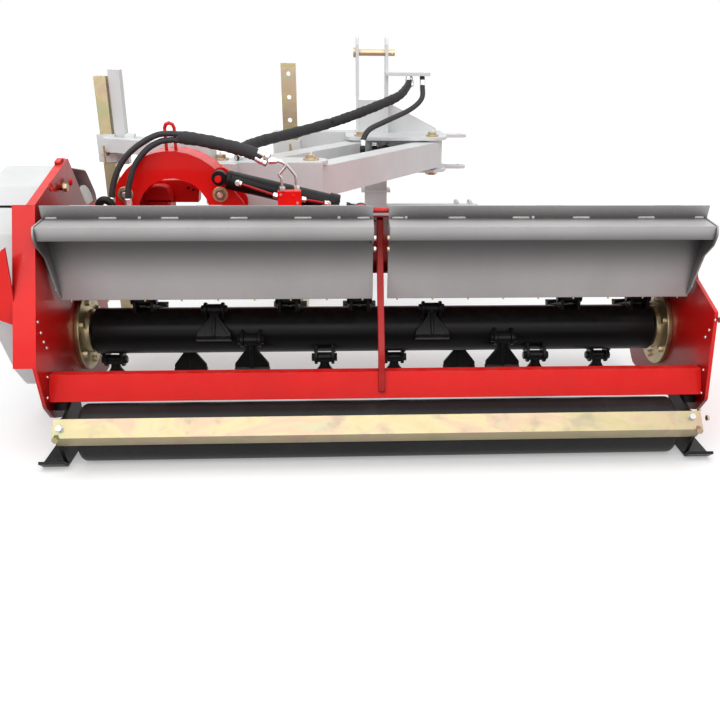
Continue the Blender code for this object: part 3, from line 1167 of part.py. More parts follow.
def headstock():
    """Grey headstock: yoke plates, beam, mast, stand sleeve, posts and lower hitch."""
    left = (FRONT_PIVOT_X - ARM_SPACING, FRONT_PIVOT_Y)
    right = (FRONT_PIVOT_X, FRONT_PIVOT_Y)
    outline = rounded([(left[0] - 0.060, FRONT_PIVOT_Y - 0.055), (right[0] + 0.060, FRONT_PIVOT_Y - 0.055),
                       (right[0] + 0.060, BEAM_Y + 0.030), (left[0] - 0.060, BEAM_Y + 0.030)],
                      [0.05, 0.055, 0, 0])
    ear = rounded([(right[0] + 0.030, FRONT_PIVOT_Y + 0.055), (right[0] + 0.150, FRONT_PIVOT_Y + 0.055),
                   (right[0] + 0.150, FRONT_PIVOT_Y + 0.115), (right[0] + 0.030, FRONT_PIVOT_Y + 0.115)],
                  0.02)
    solids = []
    for low in (YOKE_TOP, YOKE_LOW - YOKE_T):
        solids.append(prism(outline, "Z", low, low + YOKE_T))
        solids.append(prism(ear, "Z", low, low + YOKE_T))
    solids.append(box((BEAM_LEFT, BEAM_Y, YOKE_LOW - YOKE_T - 0.001),
                      (BEAM_RIGHT, BEAM_Y + BEAM_D, YOKE_TOP + YOKE_T + 0.001)))
    mast_low = YOKE_TOP + YOKE_T - 0.002
    for side in (-1, 1):
        x = HITCH_X + side * MAST_GAP / 2
        edges = sorted((x, x + side * 0.012))
        profile = rounded([(FRONT_PIVOT_Y + 0.100, mast_low), (BEAM_Y + BEAM_D, mast_low),
                           (TOP_LINK_Y + 0.045, MAST_TOP),
                           (TOP_LINK_Y - 0.040, MAST_TOP), (FRONT_PIVOT_Y + 0.115, 0.880)],
                          [0, 0, 0.03, 0.03, 0.03])
        solids.append(prism(profile, "X", *edges))
    half = MAST_GAP / 2 + 0.002
    solids.append(box((HITCH_X - half, FRONT_PIVOT_Y + 0.108, mast_low),
                      (HITCH_X + half, FRONT_PIVOT_Y + 0.116, 0.870)))
    solids.append(box((HITCH_X + MAST_GAP / 2 + 0.002, TOP_LINK_Y - 0.090, MANIFOLD_Z),
                      (HITCH_X + MAST_GAP / 2 + 0.180, TOP_LINK_Y - 0.010, MANIFOLD_Z + 0.012)))
    gusset = [(HITCH_X + MAST_GAP / 2 + 0.008, mast_low), (right[0] + 0.030, mast_low),
              (right[0] + 0.030, mast_low + 0.020), (HITCH_X + MAST_GAP / 2 + 0.008, 0.860)]
    solids.append(prism(gusset, "Y", BEAM_Y + 0.002, BEAM_Y + 0.012))
    tube_low, tube_high = HITCH_Z - 0.035, HITCH_Z + 0.035
    solids.append(box((HITCH_X - HITCH_HALF - 0.060, BEAM_Y + 0.004, tube_low),
                      (HITCH_X + HITCH_HALF + 0.060, BEAM_Y + 0.074, tube_high)))
    for x0, x1 in ((BEAM_LEFT + 0.005, BEAM_LEFT + 0.065), (HITCH_X - 0.030, HITCH_X + 0.065)):
        solids.append(box((x0, BEAM_Y + 0.008, tube_high - 0.002),
                          (x1, BEAM_Y + 0.070, YOKE_LOW - YOKE_T + 0.004)))
    solids.append(box((HITCH_X - 0.045, BEAM_Y - 0.006, 0.488), (HITCH_X + 0.080, BEAM_Y + 0.078, 0.496)))
    for side in (-1, 1):
        for step in (-0.036, 0.024):
            x = HITCH_X + side * HITCH_HALF + step
            lug = rounded([(BEAM_Y + 0.050, tube_low - 0.010), (BEAM_Y + HITCH_REACH, tube_low - 0.010),
                           (BEAM_Y + HITCH_REACH, tube_high + 0.010), (BEAM_Y + 0.050, tube_high + 0.010)],
                          [0, 0.03, 0.03, 0])
            solids.append(prism(lug, "X", x, x + 0.012))
        solids.append(rod("X", (BEAM_Y + 0.115, HITCH_Z), HITCH_PIN_R, HITCH_X + side * HITCH_HALF - 0.046,
                          HITCH_X + side * HITCH_HALF + 0.046, SIDES_SMALL))
    sleeve_low, sleeve_high = ARM_Z - 0.050, ARM_Z + 0.040
    half_w = STAND_W / 2 + 0.010
    solids.append(box((STAND_X - half_w, STAND_Y - 0.019, sleeve_low),
                      (STAND_X + half_w, BEAM_Y + 0.004, sleeve_high)))
    solids.append(yoke_boss(SHIFT_BASE_X, SHIFT_BASE_Y))
    cuts = [box((STAND_X - STAND_W / 2 - FIT, STAND_Y - STAND_T / 2 - FIT, sleeve_low - 0.05),
                (STAND_X + STAND_W / 2 + FIT, STAND_Y + STAND_T / 2 + FIT, sleeve_high + 0.05)),
            rod("Y", (STAND_X, ARM_Z), bore(0.007, 8), STAND_Y - 0.05, STAND_Y, 8),
            rod("X", (TOP_LINK_Y, TOP_LINK_Z), bore(TOP_LINK_R), HITCH_X - 0.1, HITCH_X + 0.1)]
    for place in (left, right):
        cuts.append(rod("Z", place, bore(ARM_PIN_R), YOKE_LOW - 0.05, YOKE_TOP + 0.05, SIDES))
    cuts.append(rod("Z", (right[0] + 0.120, FRONT_PIVOT_Y + 0.085), 0.010, YOKE_LOW - 0.05,
                    YOKE_TOP + 0.05, 12))
    piece("headstock_frame", "grey_paint", "headstock", solids, cuts)


def yoke_boss(x, y):
    """The fixed pin that the shift cylinder's base turns on, between the yoke plates."""
    return rod("Z", (x, y), CYL_PIN_R, YOKE_LOW - 0.004, YOKE_TOP + 0.004, SIDES_SMALL)


def top_link_pin():
    """Pin between the mast's plates, with a head and a ring hole."""
    reach = MAST_GAP / 2 + 0.012
    solids = [rod("X", (TOP_LINK_Y, TOP_LINK_Z), TOP_LINK_R, HITCH_X - reach - 0.002,
                  HITCH_X + reach + 0.028, SIDES),
              rod("X", (TOP_LINK_Y, TOP_LINK_Z), 0.019, HITCH_X - reach - 0.010, HITCH_X - reach - FIT,
                  SIDES)]
    cuts = [rod("Y", (HITCH_X + reach + 0.018, TOP_LINK_Z), 0.004, TOP_LINK_Y - 0.03, TOP_LINK_Y + 0.03, 8)]
    piece("top_link_pin", "zinc", "headstock", solids, cuts)


def cylinder_parts(names, bodies, base, tip, pin_axis, ports):
    """A hydraulic cylinder from its base eye to its rod eye, as a barrel and a rod."""
    base, tip = Vector(base), Vector(tip)
    run = (tip - base).normalized()
    length = (tip - base).length
    gland = length - 0.070

    def eye(place):
        along = {"Y": place.y, "Z": place.z}[pin_axis]
        pair = {"Y": (place.x, place.z), "Z": (place.x, place.y)}[pin_axis]
        outer = rod(pin_axis, pair, CYL_EYE_R, along - CYL_EYE_HALF, along + CYL_EYE_HALF, 16)
        hole = rod(pin_axis, pair, bore(CYL_PIN_R, SIDES_SMALL), along - 0.05, along + 0.05, SIDES_SMALL)
        return outer, hole

    outer, hole = eye(base)
    solids = [bar(base + run * 0.018, base + run * gland, CYL_R, SIDES),
              bar(base + run * (gland - 0.030), base + run * (gland + 0.001), CYL_R + 0.004, SIDES), outer]
    up = Vector((0, -1, 0)) if pin_axis == "Y" else Vector((0, 0, 1))
    for place in ports:
        spot = base + run * place
        solids.append(bar(spot, spot + up * (CYL_R + PORT_H), 0.010, 8))
    cuts = [hole, bar(base + run * 0.060, base + run * (gland + 0.05), bore(ROD_R, 16), 16)]
    piece(names[0], "black_steel", bodies[0], solids, cuts)
    outer, hole = eye(tip)
    solids = [bar(base + run * 0.080, tip - run * 0.018, ROD_R, 16), outer]
    piece(names[1], "chrome", bodies[1], solids, [hole])


def check_valve():
    """Red valve block on the tilt cylinder, with its two bent pipes and nuts."""
    base = Vector((TILT_CYL_TOP_X, TILT_CYL_Y, TILT_CYL_TOP_Z))
    tip = Vector((TILT_CYL_LOW_X, TILT_CYL_Y, TILT_CYL_LOW_Z))
    run = (tip - base).normalized()
    spot = base + run * VALVE_ALONG
    rear = TILT_CYL_Y - CYL_R - 0.0145
    solids = [box((spot.x - 0.034, rear - 0.030, spot.z - 0.022), (spot.x + 0.034, rear, spot.z + 0.022))]
    for side in (-1, 1):
        x = spot.x + side * 0.020
        y = rear - 0.015 + side * 0.010
        top = spot.z + 0.022
        bend_x = SLEEVE_START[0] + 0.030
        points = [(x, y, top - 0.004), (x, y, top + 0.040), (bend_x + 0.018, y, SLEEVE_START[2] - 0.012),
                  (SLEEVE_START[0] + 0.020, y, SLEEVE_START[2])]
        for start, end in zip(points, points[1:]):
            step = (Vector(end) - Vector(start)).normalized() * 0.002
            solids.append(bar(start, Vector(end) + step, 0.005, 6))
        solids.append(rod("Z", (x, y), 0.009, top - 0.002, top + 0.012, 6))
        solids.append(rod("X", (y, SLEEVE_START[2]), 0.009, SLEEVE_START[0] + 2 * FIT,
                          SLEEVE_START[0] + 0.024, 6))
    piece("check_valve", "red_paint", "tilt_barrel", solids)


def hoses():
    """The sleeved hoses, held at both ends."""
    top = TOP_LINK_Y - 0.070
    run = (Vector(shift_lug()) - Vector((SHIFT_BASE_X, SHIFT_BASE_Y, ARM_Z))).normalized()
    port = Vector((SHIFT_BASE_X, SHIFT_BASE_Y, ARM_Z)) + run * SHIFT_PORTS[1]
    port_z = port.z + CYL_R + PORT_H
    hose("hose_to_tilt_cylinder", "rubber", "headstock",
         [(0.165, top, MANIFOLD_Z - 2 * FIT), (0.165, top, MANIFOLD_Z - 0.030), (0.122, 1.310, 0.905),
          (-0.020, 1.190, 0.845), (-0.153, 1.100, 0.806), (-0.269, 0.950, 0.788), (-0.377, 0.800, 0.776),
          (-0.436, 0.680, 0.765), (-0.442, 0.590, YOKE_TOP + YOKE_T + SLEEVE_R + FIT)], SLEEVE_R)
    hose("hose_over_arch", "rubber", "carriage",
         [SLEEVE_START, (SLEEVE_START[0] - 0.024, SLEEVE_START[1], SLEEVE_START[2]),
          (-0.380, 0.356, 0.802), (-0.440, 0.380, 0.813), (-0.528, 0.400, 0.830), (-0.600, 0.408, 0.838),
          (-0.672, 0.402, 0.815), (-0.738, 0.392, 0.755), (-0.768, 0.384, 0.690),
          (FITTING_X, FITTING_Y, FITTING_Z + 0.020),
          (FITTING_X, FITTING_Y, FITTING_Z + 2 * FIT)], SLEEVE_R)
    hose("hose_to_shift_cylinder", "rubber", "headstock",
         [(0.218, top, MANIFOLD_Z - 2 * FIT), (0.218, top, MANIFOLD_Z - 0.030), (0.222, 1.350, 0.870),
          (0.163, 1.295, 0.842),
          (0.060, 1.190, 0.806), (-0.010, 1.110, 0.770), (port.x, port.y, port_z + 0.024),
          (port.x, port.y, port_z + FIT)], HOSE_R)


def build():
    """The whole machine."""
    clear_scene()
    make_bodies()
    deck_shell()
    side_plate_left()
    side_plate_right()
    rear_cross_bar()
    centre_stay()
    hood_flap("hood_flap_left", -1)
    hood_flap("hood_flap_right", 1)
    rotor()
    for i in range(HAMMER_COUNT):
        hammer(i)
    for label, side in (("left", -1), ("right", 1)):
        bearing_flange("bearing_flange_" + label, side)
        roller_bracket("roller_bracket_" + label, side)
    roller()
    scraper_bar()
    gearbox()
    input_shaft()
    cross_shaft()
    driven_pulley()
    drive_belts()
    belt_cover()
    tilt_arch()
    headed_pin("tilt_pin", TILT_X, ARCH_FRONT_Y + FIT + 0.001)
    headed_pin("arch_bolt", ARCH_BOLT_X, REAR_PIVOT_Y - CARRIAGE_R + WEB_T / 2, nut=False)
    side_arm("side_arm_right", "arm_right", FRONT_PIVOT_X)
    side_arm("side_arm_left", "arm_left", FRONT_PIVOT_X - ARM_SPACING)
    carriage()
    headstock()
    top_link_pin()
    for label, shift in (("right", 0.0), ("left", -ARM_SPACING)):
        pivot_pin("arm_pin_front_" + label, "headstock", FRONT_PIVOT_X + shift, FRONT_PIVOT_Y)
        pivot_pin("arm_pin_rear_" + label, "carriage", REAR_PIVOT_X + shift, REAR_PIVOT_Y)
    parking_leg()
    stand_bar()
    clamp_screw("leg_clamp_screw", "carriage", (LEG_X, LEG_Y - LEG_W / 2 - FIT, COLLAR_LOW + 0.030),
                (0, -1, 0), 0.050)
    clamp_screw("stand_clamp_screw", "headstock", (STAND_X, STAND_Y - STAND_T / 2 - FIT, ARM_Z),
                (0, -1, 0), 0.045)
    cylinder_parts(("shift_cylinder_barrel", "shift_cylinder_rod"), ("shift_barrel", "shift_rod"),
                   (SHIFT_BASE_X, SHIFT_BASE_Y, ARM_Z), shift_lug(), "Z", SHIFT_PORTS)
    cylinder_parts(("tilt_cylinder_barrel", "tilt_cylinder_rod"), ("tilt_barrel", "tilt_rod"),
                   (TILT_CYL_TOP_X, TILT_CYL_Y, TILT_CYL_TOP_Z),
                   (TILT_CYL_LOW_X, TILT_CYL_Y, TILT_CYL_LOW_Z), "Y",
                   (VALVE_ALONG - 0.020, VALVE_ALONG + 0.020))
    check_valve()
    hoses()


build()
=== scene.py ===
"""Looks of the side-shift verge mower: finishes, turned and bent pieces, hoses, light, camera.

Places are written in the layout's frame (X = 0 in the middle of the deck, Y = 0 on the
roller's axis, Z = 0 on the ground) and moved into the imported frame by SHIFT.
"""

import math

import bmesh
import bpy
import numpy as np
from mathutils import Matrix


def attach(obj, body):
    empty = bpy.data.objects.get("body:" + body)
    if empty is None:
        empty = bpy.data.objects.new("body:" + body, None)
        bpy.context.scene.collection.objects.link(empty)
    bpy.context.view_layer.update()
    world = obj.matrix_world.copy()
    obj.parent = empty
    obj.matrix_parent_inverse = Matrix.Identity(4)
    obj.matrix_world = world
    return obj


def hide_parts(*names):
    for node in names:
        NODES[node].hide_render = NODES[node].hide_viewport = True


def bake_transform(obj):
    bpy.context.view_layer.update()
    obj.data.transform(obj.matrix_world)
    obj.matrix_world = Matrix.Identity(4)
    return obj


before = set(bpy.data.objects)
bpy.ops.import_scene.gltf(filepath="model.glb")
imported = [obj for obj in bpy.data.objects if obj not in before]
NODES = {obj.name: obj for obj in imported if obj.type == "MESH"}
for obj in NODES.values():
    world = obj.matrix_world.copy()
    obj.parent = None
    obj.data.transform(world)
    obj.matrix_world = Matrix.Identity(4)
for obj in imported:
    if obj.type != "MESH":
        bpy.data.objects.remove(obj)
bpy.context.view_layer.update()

SHIFT = np.array((0.0735, -0.72775, 0.0))
FULL_TURN = 2 * math.pi
X_AXIS, Y_AXIS, Z_AXIS = np.eye(3)
SHARP_FROM = math.radians(35)

# Driving dimensions that the dressed pieces share with the solids
DECK_HALF = 0.915
PLATE_T = 0.010
ROTOR = (0.376, 0.245)
TUBE_R = 0.072
TUBE_HALF = DECK_HALF - 0.036
STUB_R = 0.028
FLANGE_BOLTS_R = 0.094
PIVOT_R = 0.098
HAMMER_ROWS = "BTFVRTLTBVFRLTBT"
LUG_DEG = {"B": 0, "L": -45, "R": -90, "V": -150, "T": 180, "F": 45}
REST_DEG = {"V": -32, "T": 62}
HAMMER_FIRST = DECK_HALF - 0.078
HAMMER_L = 0.098
HAMMER_HALF_W = 0.0525
ROLLER_R = 0.080
ARM_Z = 0.670
ARM_SIN = 0.564
ARM_COS = math.sqrt(1 - ARM_SIN ** 2)
ARM_L = 0.820
FRONT_PIVOT = np.array((0.255, 1.300))
REAR_PIVOT = FRONT_PIVOT - ARM_L * np.array((ARM_SIN, ARM_COS))
ARM_SPACING = 0.290
YOKE_TOP = ARM_Z + 0.0568
TILT = (-0.760, 0.662)
ARCH_BOLT_X = -0.476
ARCH_REAR_Y = 0.430
CYL_R = 0.028
ROD_R = 0.013
TILT_TOP = np.array((-0.470, 0.395, 0.718))
TILT_LOW = np.array((-0.050, 0.395, 0.620))
SHIFT_BASE = np.array((0.075, 1.370, ARM_Z))
SHIFT_LUG_ALONG = 0.5
SHIFT_LUG_SIDE = 0.078
SHIFT_TIP = np.array((FRONT_PIVOT[0] - SHIFT_LUG_ALONG * ARM_SIN - SHIFT_LUG_SIDE * ARM_COS,
                      FRONT_PIVOT[1] - SHIFT_LUG_ALONG * ARM_COS + SHIFT_LUG_SIDE * ARM_SIN, ARM_Z))
SHIFT_PORTS = (0.160, 0.300)
VALVE_AT = 0.215
VALVE_PORT_STEP = 0.020
HOSE_R = 0.0086
HOSE_SPREAD = 0.0088
SLEEVE_R = 0.0108
SLEEVE_FLAT = 1.75
SHIFT_HOSE_R = 0.0102
SHELF_Y = 1.400
SHELF_LOW = 0.9644

# The photograph's camera and the studio's light
LENS, SENSOR, PICTURE = 40.0, 36.0, 720
PITCH_DEG, YAW_DEG, ROLL_DEG = 22.0, 3.03, 0.56
PICTURE_MIDDLE = 388.2
CAMERA_AT = (-0.091, -2.035, 1.111)
SKY_LIGHT = 0.14
LAMPS = (("key_lamp", (-1.0, -3.3, 4.2), (0.0, 0.0, 0.4), (8.4, 5.6), 280.0),
         ("top_lamp", (0.2, 0.5, 4.0), (0.0, 0.0, 0.4), (6.0, 5.0), 95.0),
         ("side_lamp", (4.2, -1.6, 1.9), (0.2, 0.0, 0.4), (2.6, 2.2), 26.0))


# Shapes

class Surface:
    """The points and faces of one piece, gathered grid by grid."""

    def __init__(self):
        self.points, self.faces, self.count = [], [], 0

    def grid(self, rings, ends=True):
        """Quads between neighbouring rings of points (ring, place round it, XYZ), with flat ends."""
        rows, around, _ = rings.shape
        index = self.count + np.arange(rows * around).reshape(rows, around)
        turned_on = np.roll(index, -1, axis=1)
        quads = np.stack([index[:-1], turned_on[:-1], turned_on[1:], index[1:]], axis=-1)
        self.faces += quads.reshape(-1, 4).tolist()
        if ends:
            self.faces += [index[0][::-1].tolist(), index[-1].tolist()]
        self.points.append(rings.reshape(-1, 3))
        self.count += rows * around
        return self

    def add_turned(self, other, degrees, centre):
        """Another surface, turned about an X axis and moved to its centre."""
        a = math.radians(degrees)
        spin = np.array(((1, 0, 0), (0, math.cos(a), -math.sin(a)), (0, math.sin(a), math.cos(a))))
        self.faces += [[self.count + k for k in face] for face in other.faces]
        self.points += [points @ spin.T + np.asarray(centre) for points in other.points]
        self.count += other.count
        return self


def made(name, surface, body, finish, node=None):
    """A piece from a surface: its place in its mesh, faces outwards, riding on a body if one is given."""
    mesh = bpy.data.meshes.new(name)
    mesh.from_pydata((np.vstack(surface.points) + SHIFT).tolist(), [], surface.faces)
    bm = bmesh.new()
    bm.from_mesh(mesh)
    bmesh.ops.recalc_face_normals(bm, faces=bm.faces)
    bm.to_mesh(mesh)
    bm.free()
    mesh.shade_smooth()
    mesh.set_sharp_from_angle(angle=SHARP_FROM)
    obj = bpy.data.objects.new(name, mesh)
    bpy.context.scene.collection.objects.link(obj)
    mesh.materials.append(finish.material)
    if body:
        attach(obj, body)
    if node:
        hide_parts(node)
    return obj


def placed(obj, axes, where):
    """Link an object and turn it so that its own X, Y and Z lie along three given directions."""
    bpy.context.scene.collection.objects.link(obj)
    turn = Matrix(np.stack(axes, axis=1).tolist()).to_4x4()
    turn.translation = tuple(where)
    obj.matrix_world = turn


def unit(vector):
    """The direction of a vector, one long."""
    vector = np.asarray(vector, float)
    return vector / np.linalg.norm(vector)


def soft_outline(corners, radius, steps=5):
    """Closed outline whose corners are quadratic curves: (1-t)^2 start + 2t(1-t) corner + t^2 end."""
    corner = np.asarray(corners, float)
    radius = np.broadcast_to(np.asarray(radius, float), len(corner))[:, None]
    ends = []
    for step in (1, -1):
        run = np.roll(corner, step, axis=0) - corner
        length = np.linalg.norm(run, axis=1, keepdims=True)
        ends.append(corner + run / length * np.minimum(radius, length * 0.45))
    t = np.linspace(0, 1, steps)[None, :, None]
    line = (1 - t) ** 2 * ends[0][:, None] + 2 * t * (1 - t) * corner[:, None] + t ** 2 * ends[1][:, None]
    return line.reshape(-1, 2)


def slab(shape, low, high, axis="X", edge=0.0012):
    """Rings of an outline carried from low to high; the end rings are drawn in along its normals."""
    run = np.roll(shape, -1, axis=0) - np.roll(shape, 1, axis=0)
    run /= np.linalg.norm(run, axis=1, keepdims=True) + 1e-12
    normal = np.stack([-run[:, 1], run[:, 0]], axis=1)
    after = np.roll(shape, -1, axis=0)
    area = np.sum(shape[:, 0] * after[:, 1] - shape[:, 1] * after[:, 0])
    inward = normal if area > 0 else -normal
    levels = [(low, edge), (low + edge, 0), (high - edge, 0), (high, edge)]
    return np.stack([np.insert(shape + inward * inset, "XYZ".index(axis), along, axis=1)
                     for along, inset in levels])


def square_to(axis):
    """The axis and two directions square to it and to each other, all one long."""
    axis = unit(axis)
    first = unit(np.cross(Z_AXIS if abs(axis[2]) < 0.8 else Y_AXIS, axis))
    return axis, first, np.cross(axis, first)


def turned(profile, start, axis, around=48, hexagon=0.0):
    """(along, radius) pairs carried round an axis, the radius cut to a hexagon if one is given."""
    axis, first, second = square_to(axis)
    angle = np.linspace(0, FULL_TURN, around, endpoint=False)
    profile = np.asarray(profile, float)
    radius = np.repeat(profile[:, 1:2], around, axis=1)
    if hexagon:
        flat = hexagon / np.cos((angle % (math.pi / 3)) - math.pi / 6)
        radius = np.minimum(radius, flat[None, :])
    ring = np.cos(angle)[:, None] * first + np.sin(angle)[:, None] * second
    return np.asarray(start, float) + profile[:, :1, None] * axis + radius[:, :, None] * ring[None]


def smooth_line(points, per_span=10):
    """A line through all points: on each span the cubic whose slopes are half the neighbours' chord."""
    p = np.asarray(points, float)
    p = np.vstack([2 * p[0] - p[1], p, 2 * p[-1] - p[-2]])
    t = np.linspace(0, 1, per_span, endpoint=False)[None, :, None]
    a, b, c, d = p[:-3, None], p[1:-2, None], p[2:-1, None], p[3:, None]
    line = 0.5 * (2 * b + (c - a) * t + (2 * a - 5 * b + 4 * c - d) * t ** 2
                  + (3 * b - a - 3 * c + d) * t ** 3)
    return np.vstack([line.reshape(-1, 3), p[-2:-1]])


def normals(line, side):
    """Two normals at each point of a line, the first as near to side as it can be."""
    tangent = np.gradient(line, axis=0)
    tangent /= np.linalg.norm(tangent, axis=1, keepdims=True)
    side = np.broadcast_to(side, tangent.shape)
    first = side - np.sum(tangent * side, axis=1, keepdims=True) * tangent
    first /= np.linalg.norm(first, axis=1, keepdims=True)
    return first, np.cross(tangent, first)


def tube(line, radius, side=Y_AXIS, around=16, flat=1.0):
    """Rings round a line: line + radius * (cos a * first normal + flat * sin a * second normal)."""
    first, second = normals(line, side)
    angle = np.linspace(0, FULL_TURN, around, endpoint=False)[None, :, None]
    radius = np.broadcast_to(radius, len(line))[:, None, None]
    return line[:, None] + radius * (np.cos(angle) * first[:, None] + flat * np.sin(angle) * second[:, None])


def hex_nut(surface, seat, axis, across, height, washer=True):
    """A washer and a chamfered hexagon, from a seat outwards."""
    half = across / 2
    corner = half / math.cos(math.pi / 6)
    lift = 0.0
    if washer:
        lift = height * 0.16
        surface.grid(turned([(0, half * 1.28), (lift * 0.7, half * 1.28), (lift, half * 1.22)],
                            seat, axis, 32))
    rows = [(lift, corner * 0.97), (lift + height * 0.08, corner), (height * 0.86, corner),
            (height, corner * 0.9)]
    surface.grid(turned(rows, seat, axis, 36, half))


def button_head(surface, seat, axis, radius, height):
    """A domed head: radius * cos u at height * sin u, for u from 0 to a right angle."""
    u = np.linspace(0, math.pi / 2 * 0.96, 6)
    rows = np.stack([height * np.sin(u), radius * np.cos(u)], axis=1)
    surface.grid(turned(rows, seat, axis, 16))


def weld_bead(surface, points, radius, side=Z_AXIS, per_span=8):
    """A bead along a seam: a tube whose radius ripples by an eighth, with thin ends."""
    line = smooth_line(points, per_span)
    length = np.concatenate([[0], np.cumsum(np.linalg.norm(np.diff(line, axis=0), axis=1))])
    even = np.linspace(0, length[-1], max(8, int(length[-1] / radius / 0.7)))
    line = np.stack([np.interp(even, length, line[:, k]) for k in range(3)], axis=1)
    swell = radius * (1 + 0.12 * np.sin(np.arange(len(line)) * 2.1))
    swell[[0, -1]] *= 0.4
    surface.grid(tube(line, swell, side, 8))


# Shader expressions

class Value:
    """A shader socket in an expression: each operator adds its Math node."""

    def __init__(self, finish, socket):
        self.finish, self.socket = finish, socket

    def __add__(self, other):
        return self.finish.math("ADD", self, other)

    def __rsub__(self, other):
        return self.finish.math("SUBTRACT", other, self)

    def __mul__(self, other):
        return self.finish.math("MULTIPLY", self, other)

    def __pow__(self, other):
        return self.finish.math("POWER", self, other)

    __radd__ = __add__
    __rmul__ = __mul__

    def clip(self):
        """The value held between 0 and 1."""
        return self.finish.node("ShaderNodeMath", {"operation": "ADD", "use_clamp": True}, {0: self, 1: 0.0})

    def step(self, low, high):
        """0 below low, 1 above high, and a smooth rise between them."""
        return self.finish.node("ShaderNodeMapRange", {"interpolation_type": "SMOOTHSTEP"},
                                {"Value": self, "From Min": low, "From Max": high})


class Nodes:
    """The nodes of one tree, a material's or the world's."""

    def __init__(self, tree):
        self.tree = tree

    def node(self, kind, settings=None, inputs=None, out=0):
        """Any node: its type, its settings (a ramp's stops among them) and its inputs."""
        node = self.tree.nodes.new(kind)
        for label, setting in (settings or {}).items():
            if label == "stops":
                self.set_stops(node.color_ramp, setting)
            else:
                setattr(node, label, setting)
        for label, value in (inputs or {}).items():
            self.feed(node.inputs[label], value)
        return Value(self, node.outputs[out])

    @staticmethod
    def set_stops(ramp, stops):
        """Colour stops of a ramp, as (place, colour) pairs."""
        while len(ramp.elements) < len(stops):
            ramp.elements.new(0.5)
        for element, (place, colour) in zip(ramp.elements, stops):
            element.position = place
            element.color = (*colour, 1.0)

    def feed(self, socket, value):
        """Link a value, or set a number or a colour."""
        if isinstance(value, Value):
            self.tree.links.new(value.socket, socket)
        elif isinstance(value, tuple) and len(value) == 3 and len(socket.default_value) == 4:
            socket.default_value = (*value, 1.0)
        else:
            socket.default_value = value

    def math(self, operation, one, two):
        """One Math node."""
        return self.node("ShaderNodeMath", {"operation": operation}, {0: one, 1: two})

    def seen_directly(self):
        """1 for rays from the camera and for mirror and glass rays, else 0."""
        path = self.tree.nodes.new("ShaderNodeLightPath")
        camera, glossy, glass = (Value(self, path.outputs[f"Is {kind} Ray"])
                                 for kind in ("Camera", "Glossy", "Transmission"))
        return (camera + glossy + glass).clip()


class Finish(Nodes):
    """One material: a Principled shader and the expressions that feed it."""

    def __init__(self, name, **constants):
        self.material = bpy.data.materials.new(name)
        self.material.use_nodes = True
        super().__init__(self.material.node_tree)
        self.shader = self.tree.nodes["Principled BSDF"]
        for label, number in constants.items():
            self.shader.inputs[label.replace("_", " ")].default_value = number

    def place(self, stretch=(1, 1, 1)):
        """Object coordinates, stretched."""
        where = self.node("ShaderNodeTexCoord", out="Object")
        return self.node("ShaderNodeMapping", inputs={"Vector": where, "Scale": stretch})

    def noise(self, scale, detail=2.0, rough=0.5, stretch=(1, 1, 1), bend=0.0):
        """Noise over the object, between 0 and 1."""
        return self.node("ShaderNodeTexNoise", inputs={
            "Vector": self.place(stretch), "Scale": scale, "Detail": detail, "Roughness": rough,
            "Distortion": bend})

    def colour(self, factor, one, two):
        """One colour turning into another by a factor."""
        return self.node("ShaderNodeMix", {"data_type": "RGBA"}, {0: factor, 6: one, 7: two}, 2)

    def upward(self):
        """How far the face looks up: the surface normal's Z, from 0 to 1."""
        normal = self.node("ShaderNodeNewGeometry", out="Normal")
        return self.node("ShaderNodeSeparateXYZ", inputs={0: normal}, out="Z").clip()

    def sheltered(self, reach, alone):
        """Where folds or other pieces stand close: 1 less the open sky within reach, as a smooth step."""
        sky = self.node("ShaderNodeAmbientOcclusion", {"samples": 8, "only_local": alone},
                        {"Distance": reach}, "AO")
        return (1 - sky).step(0.08, 0.62)

    def edge(self, radius):
        """(rounded normal, mask of edges): the mask is 1 less the dot of the true and rounded normals."""
        bevel = self.node("ShaderNodeBevel", {"samples": 4}, {"Radius": radius})
        true = self.node("ShaderNodeNewGeometry", out="Normal")
        dot = self.node("ShaderNodeVectorMath", {"operation": "DOT_PRODUCT"}, {0: bevel, 1: true}, "Value")
        return bevel, (1 - dot).step(0.004, 0.16)

    def bump(self, height, depth, strength=1.0, normal=None):
        """A normal from a height whose whole range is depth metres."""
        inputs = {"Height": height, "Distance": depth, "Strength": strength}
        if normal:
            inputs["Normal"] = normal
        return self.node("ShaderNodeBump", inputs=inputs)

    def wear(self, **values):
        """What varies over the surface, by the shader's socket names."""
        for label, value in values.items():
            self.feed(self.shader.inputs[label.replace("_", " ")], value)
        return self


def tinted(colour, factor):
    """A colour made lighter or darker by a number."""
    return tuple(min(1.0, part * factor) for part in colour)


